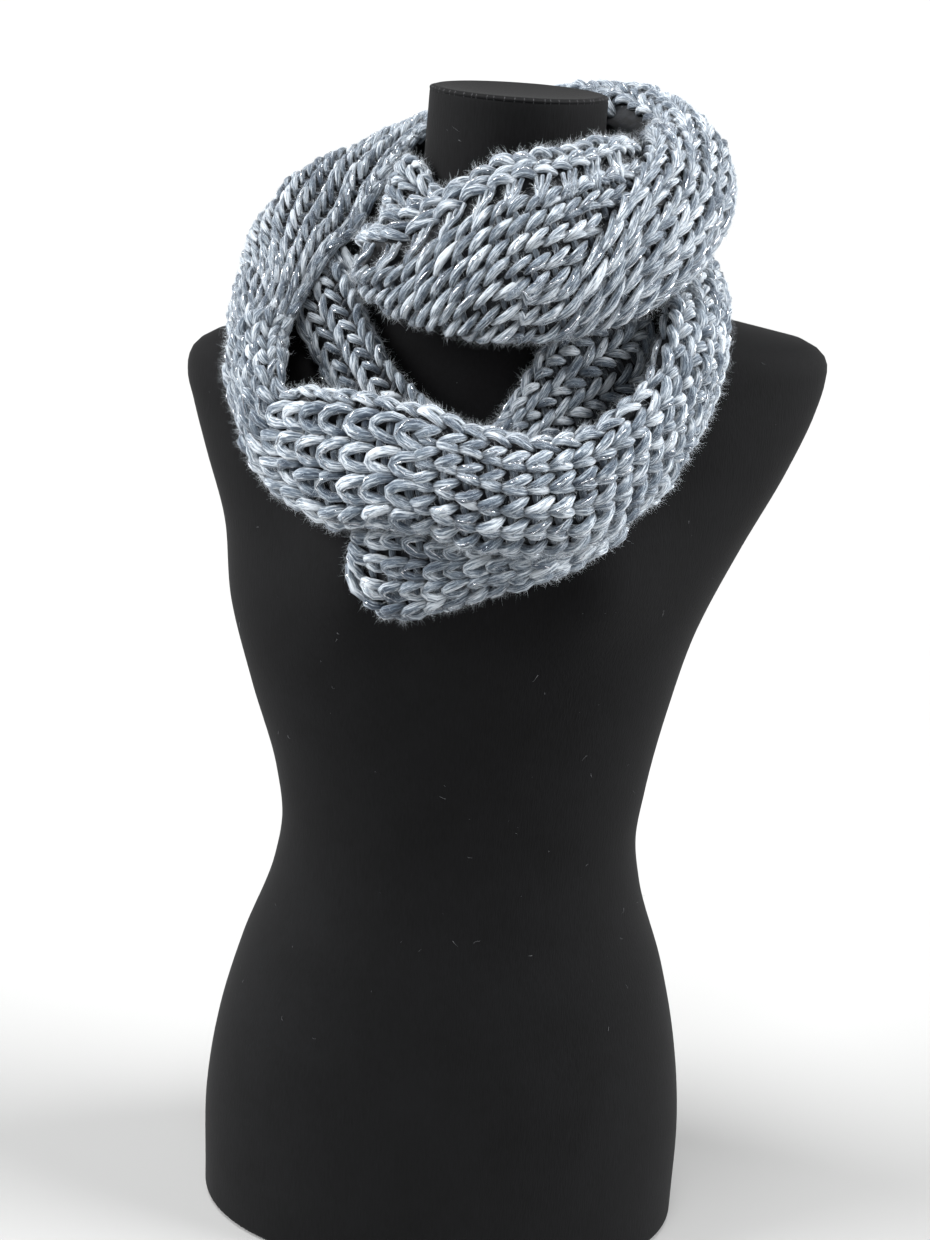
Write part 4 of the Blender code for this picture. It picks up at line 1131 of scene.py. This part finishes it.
class SCARF_OT_knit(bpy.types.Operator):
    """Knits every stretch of the scarf: the cloth, its stitches, silver thread and fuzz"""
    bl_idname = "scarf.knit"
    bl_label = "Knitted scarf"

    def execute(self, context):
        settings = context.scene.scarf_yarn
        dice = np.random.default_rng(7)
        deep, main = np.array(settings.dark_yarn), np.array(settings.middle_yarn)
        share = settings.tone_share
        yarn = yarn_finish("yarn", settings.dark_yarn, settings.middle_yarn,
                           settings.light_yarn, share)
        # Painted shade: yarn_in_shade and yarn_between_painted_shade are darker copies of the yarn
        # for the loops down in the valleys, the first on the inner turns.
        shade = yarn_finish("yarn_in_shade", deep * 0.3, main * 0.2, main * 0.4, share)
        between = yarn_finish("yarn_between_painted_shade", deep * 0.7, main * 0.45, main * 0.8, share)
        # Painted shade: the backing's near-black finish stands for the shade under the stitches.
        shaded_cloth_finish = shaded_backing_finish("purl_side_painted_shade")
        silver = silver_finish("silver_thread")
        fuzz = fuzz_finish("fuzz", tuple(settings.light_yarn))
        total = sum(cloth.length * cloth.widths.mean() for cloth in CLOTHS.values())
        for name, cloth in CLOTHS.items():
            stitches, paths, ups, radii = stitch_piece(name, settings, dice, yarn)
            purls = purl_piece(name, shade if name.startswith("inner") else between)
            threads = self.threads(name, settings, dice, silver, paths, ups, radii)
            count = int(settings.fuzz_count * cloth.length * cloth.widths.mean() / total)
            hairs = self.fuzz(name, count, dice, fuzz, paths, ups, radii)
            shell = backing_shell(name, shaded_cloth_finish)
            width, length = float(cloth.widths.max()) * CM, float(cloth.length) * CM
            min(cloth.area() * CM**2, width * length)
        return {"FINISHED"}

    @staticmethod
    def threads(name, settings, dice, finish, paths, ups, radii):
        """Filaments that run along the top of some of the stitches."""
        picked = np.flatnonzero(dice.random(len(paths)) < settings.silver_share)
        path, up, thick = paths[picked, 1:-1:2], ups[picked, 1:-1:2], radii[picked, 1:-1:2]
        rings = path.shape[1]
        tangent = unit(np.gradient(path, axis=1))
        side = np.cross(tangent, up)
        turn = (dice.uniform(-0.9, 0.9, (len(picked), 1))
                + dice.uniform(-1.3, 1.3, (len(picked), 1)) * np.linspace(-1, 1, rings))
        reach = thick * 1.03
        laid = (path + (reach * np.cos(turn))[..., None] * up
                + (reach * np.sin(turn))[..., None] * side)
        verts, faces, uvs = tube_mesh(laid, np.full(thick.shape, SILVER_RADIUS), up, 5)
        return make_mesh("silver_" + name, verts, faces, finish)

    @staticmethod
    def fuzz(name, count, dice, finish, paths, ups, radii):
        """Loose fibres over the stitches."""
        leg = dice.integers(0, len(paths), count)
        ring = dice.integers(2, paths.shape[1] - 2, count)
        tangent = unit(np.gradient(paths, axis=1))[leg, ring]
        up = ups[leg, ring]
        side = np.cross(tangent, up)
        turn = dice.uniform(-1.2, 1.2, (count, 1))
        out = up * np.cos(turn) + side * np.sin(turn)
        places = paths[leg, ring] + out * radii[leg, ring][:, None] * 0.95
        ways = unit(tangent * dice.uniform(-1, 1, (count, 1))
                    + out * dice.uniform(0.1, 0.9, (count, 1))
                    + dice.normal(0, 0.35, (count, 3)))
        reach = dice.uniform(*FUZZ_LENGTH, (count, 1))
        thick = dice.uniform(*FUZZ_RADIUS, (count, 1))
        return hair_mesh("fuzz_" + name, places, ways, out, reach, thick, finish)


class SCARF_OT_stage(bpy.types.Operator):
    """Pale floor, soft studio light and a camera that looks down at the front"""
    bl_idname = "scarf.stage"
    bl_label = "Stage"

    def execute(self, context):
        scene, settings = context.scene, context.scene.scarf_stage
        corners = np.array([(-1, -1, 0), (1, -1, 0), (1, 1, 0), (-1, 1, 0)]) * FLOOR_HALF
        mesh = bpy.data.meshes.new("floor")
        mesh.from_pydata(corners * CM, [], [(0, 1, 2, 3)])
        mesh.materials.append(floor_finish("floor", tuple(settings.floor_colour)))
        floor = bpy.data.objects.new("floor", mesh)
        scene.collection.objects.link(floor)
        for name, (way, spread) in LIGHTS.items():
            strength = settings.key_strength if name == "key" else settings.side_strength
            self.light(scene, name, way, strength, spread)
        self.room(scene, settings.room_light)
        self.camera(scene)
        scene.view_settings.view_transform = "Standard"
        return {"FINISHED"}

    @staticmethod
    def room(scene, ceiling):
        """Pale walls as high as the object, under a dimmer ceiling."""
        world = bpy.data.worlds.new("room")
        world.use_nodes = True
        tree = world.node_tree
        way = add_node(tree, "ShaderNodeTexCoord").outputs["Generated"]
        height = add_node(tree, "ShaderNodeSeparateXYZ", {"Vector": way}).outputs["Z"]
        ramp = add_ramp(tree, height, ((ROOM["walls_end"], (ROOM["walls"],) * 3),
                                       (ROOM["ceiling_from"], (ceiling,) * 3)))
        tree.links.new(ramp.outputs["Color"], tree.nodes["Background"].inputs["Color"])
        scene.world = world

    @staticmethod
    def light(scene, name, way, strength, spread):
        """A wide soft sun that shines from the given way."""
        lamp = bpy.data.lights.new(name, "SUN")
        lamp.energy = strength
        lamp.angle = math.radians(spread)
        made = bpy.data.objects.new(name, lamp)
        made.rotation_euler = (-Vector(way)).to_track_quat("-Z", "Y").to_euler()
        scene.collection.objects.link(made)

    @staticmethod
    def camera(scene):
        """The camera in front, turned down by its pitch and then over by its roll."""
        pitch, roll = math.radians(CAMERA["pitch"]), math.radians(CAMERA["roll"])
        forward = Vector((0, math.cos(pitch), -math.sin(pitch)))
        level, upright = Vector((1, 0, 0)), Vector((0, math.sin(pitch), math.cos(pitch)))
        right = level * math.cos(roll) + upright * math.sin(roll)
        up = upright * math.cos(roll) - level * math.sin(roll)
        place = (Vector((0, 0, CAMERA["aim_height"])) + right * CAMERA["aside"]
                 - forward * CAMERA["away"]) * CM
        lens = bpy.data.cameras.new("camera")
        lens.lens = CAMERA["lens"]
        lens.sensor_width = 36
        made = bpy.data.objects.new("camera", lens)
        made.matrix_world = Matrix((
            (right.x, up.x, -forward.x, place.x), (right.y, up.y, -forward.y, place.y),
            (right.z, up.z, -forward.z, place.z), (0, 0, 0, 1)))
        scene.collection.objects.link(made)
        scene.camera = made


class SCARF_PT_panel(bpy.types.Panel):
    """Sizes, colours and pieces of the scarf and its form"""
    bl_idname = "SCARF_PT_panel"
    bl_label = "Infinity scarf"
    bl_space_type = "VIEW_3D"
    bl_region_type = "UI"
    bl_category = "Scarf"

    def draw(self, context):
        """Every setting in a box of its group, then a button for every operator."""
        for group in GROUPS:
            box = self.layout.box()
            settings = getattr(context.scene, group)
            for name in settings.bl_rna.properties.keys():
                if name not in ("rna_type", "name"):
                    box.prop(settings, name)
        for operator in OPERATORS:
            self.layout.operator(operator.bl_idname)


GROUPS = {"scarf_yarn": ScarfYarn, "scarf_form": ScarfForm, "scarf_stage": ScarfStage}
OPERATORS = (SCARF_OT_form, SCARF_OT_neck_seam, SCARF_OT_knit, SCARF_OT_stage)
CLASSES = (*GROUPS.values(), *OPERATORS, SCARF_PT_panel)


def register():
    """Adds the classes, and the settings to the scene."""
    for each in CLASSES:
        bpy.utils.register_class(each)
    for name, group in GROUPS.items():
        setattr(bpy.types.Scene, name, bpy.props.PointerProperty(type=group))


def unregister():
    """Takes the settings and the classes away again."""
    for name in GROUPS:
        delattr(bpy.types.Scene, name)
    for each in reversed(CLASSES):
        bpy.utils.unregister_class(each)


def main():
    """Registers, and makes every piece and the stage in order."""
    register()
    for operator in OPERATORS:
        group, name = operator.bl_idname.split(".")
        getattr(getattr(bpy.ops, group), name)()
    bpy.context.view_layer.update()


if __name__ == "__main__":
    main()
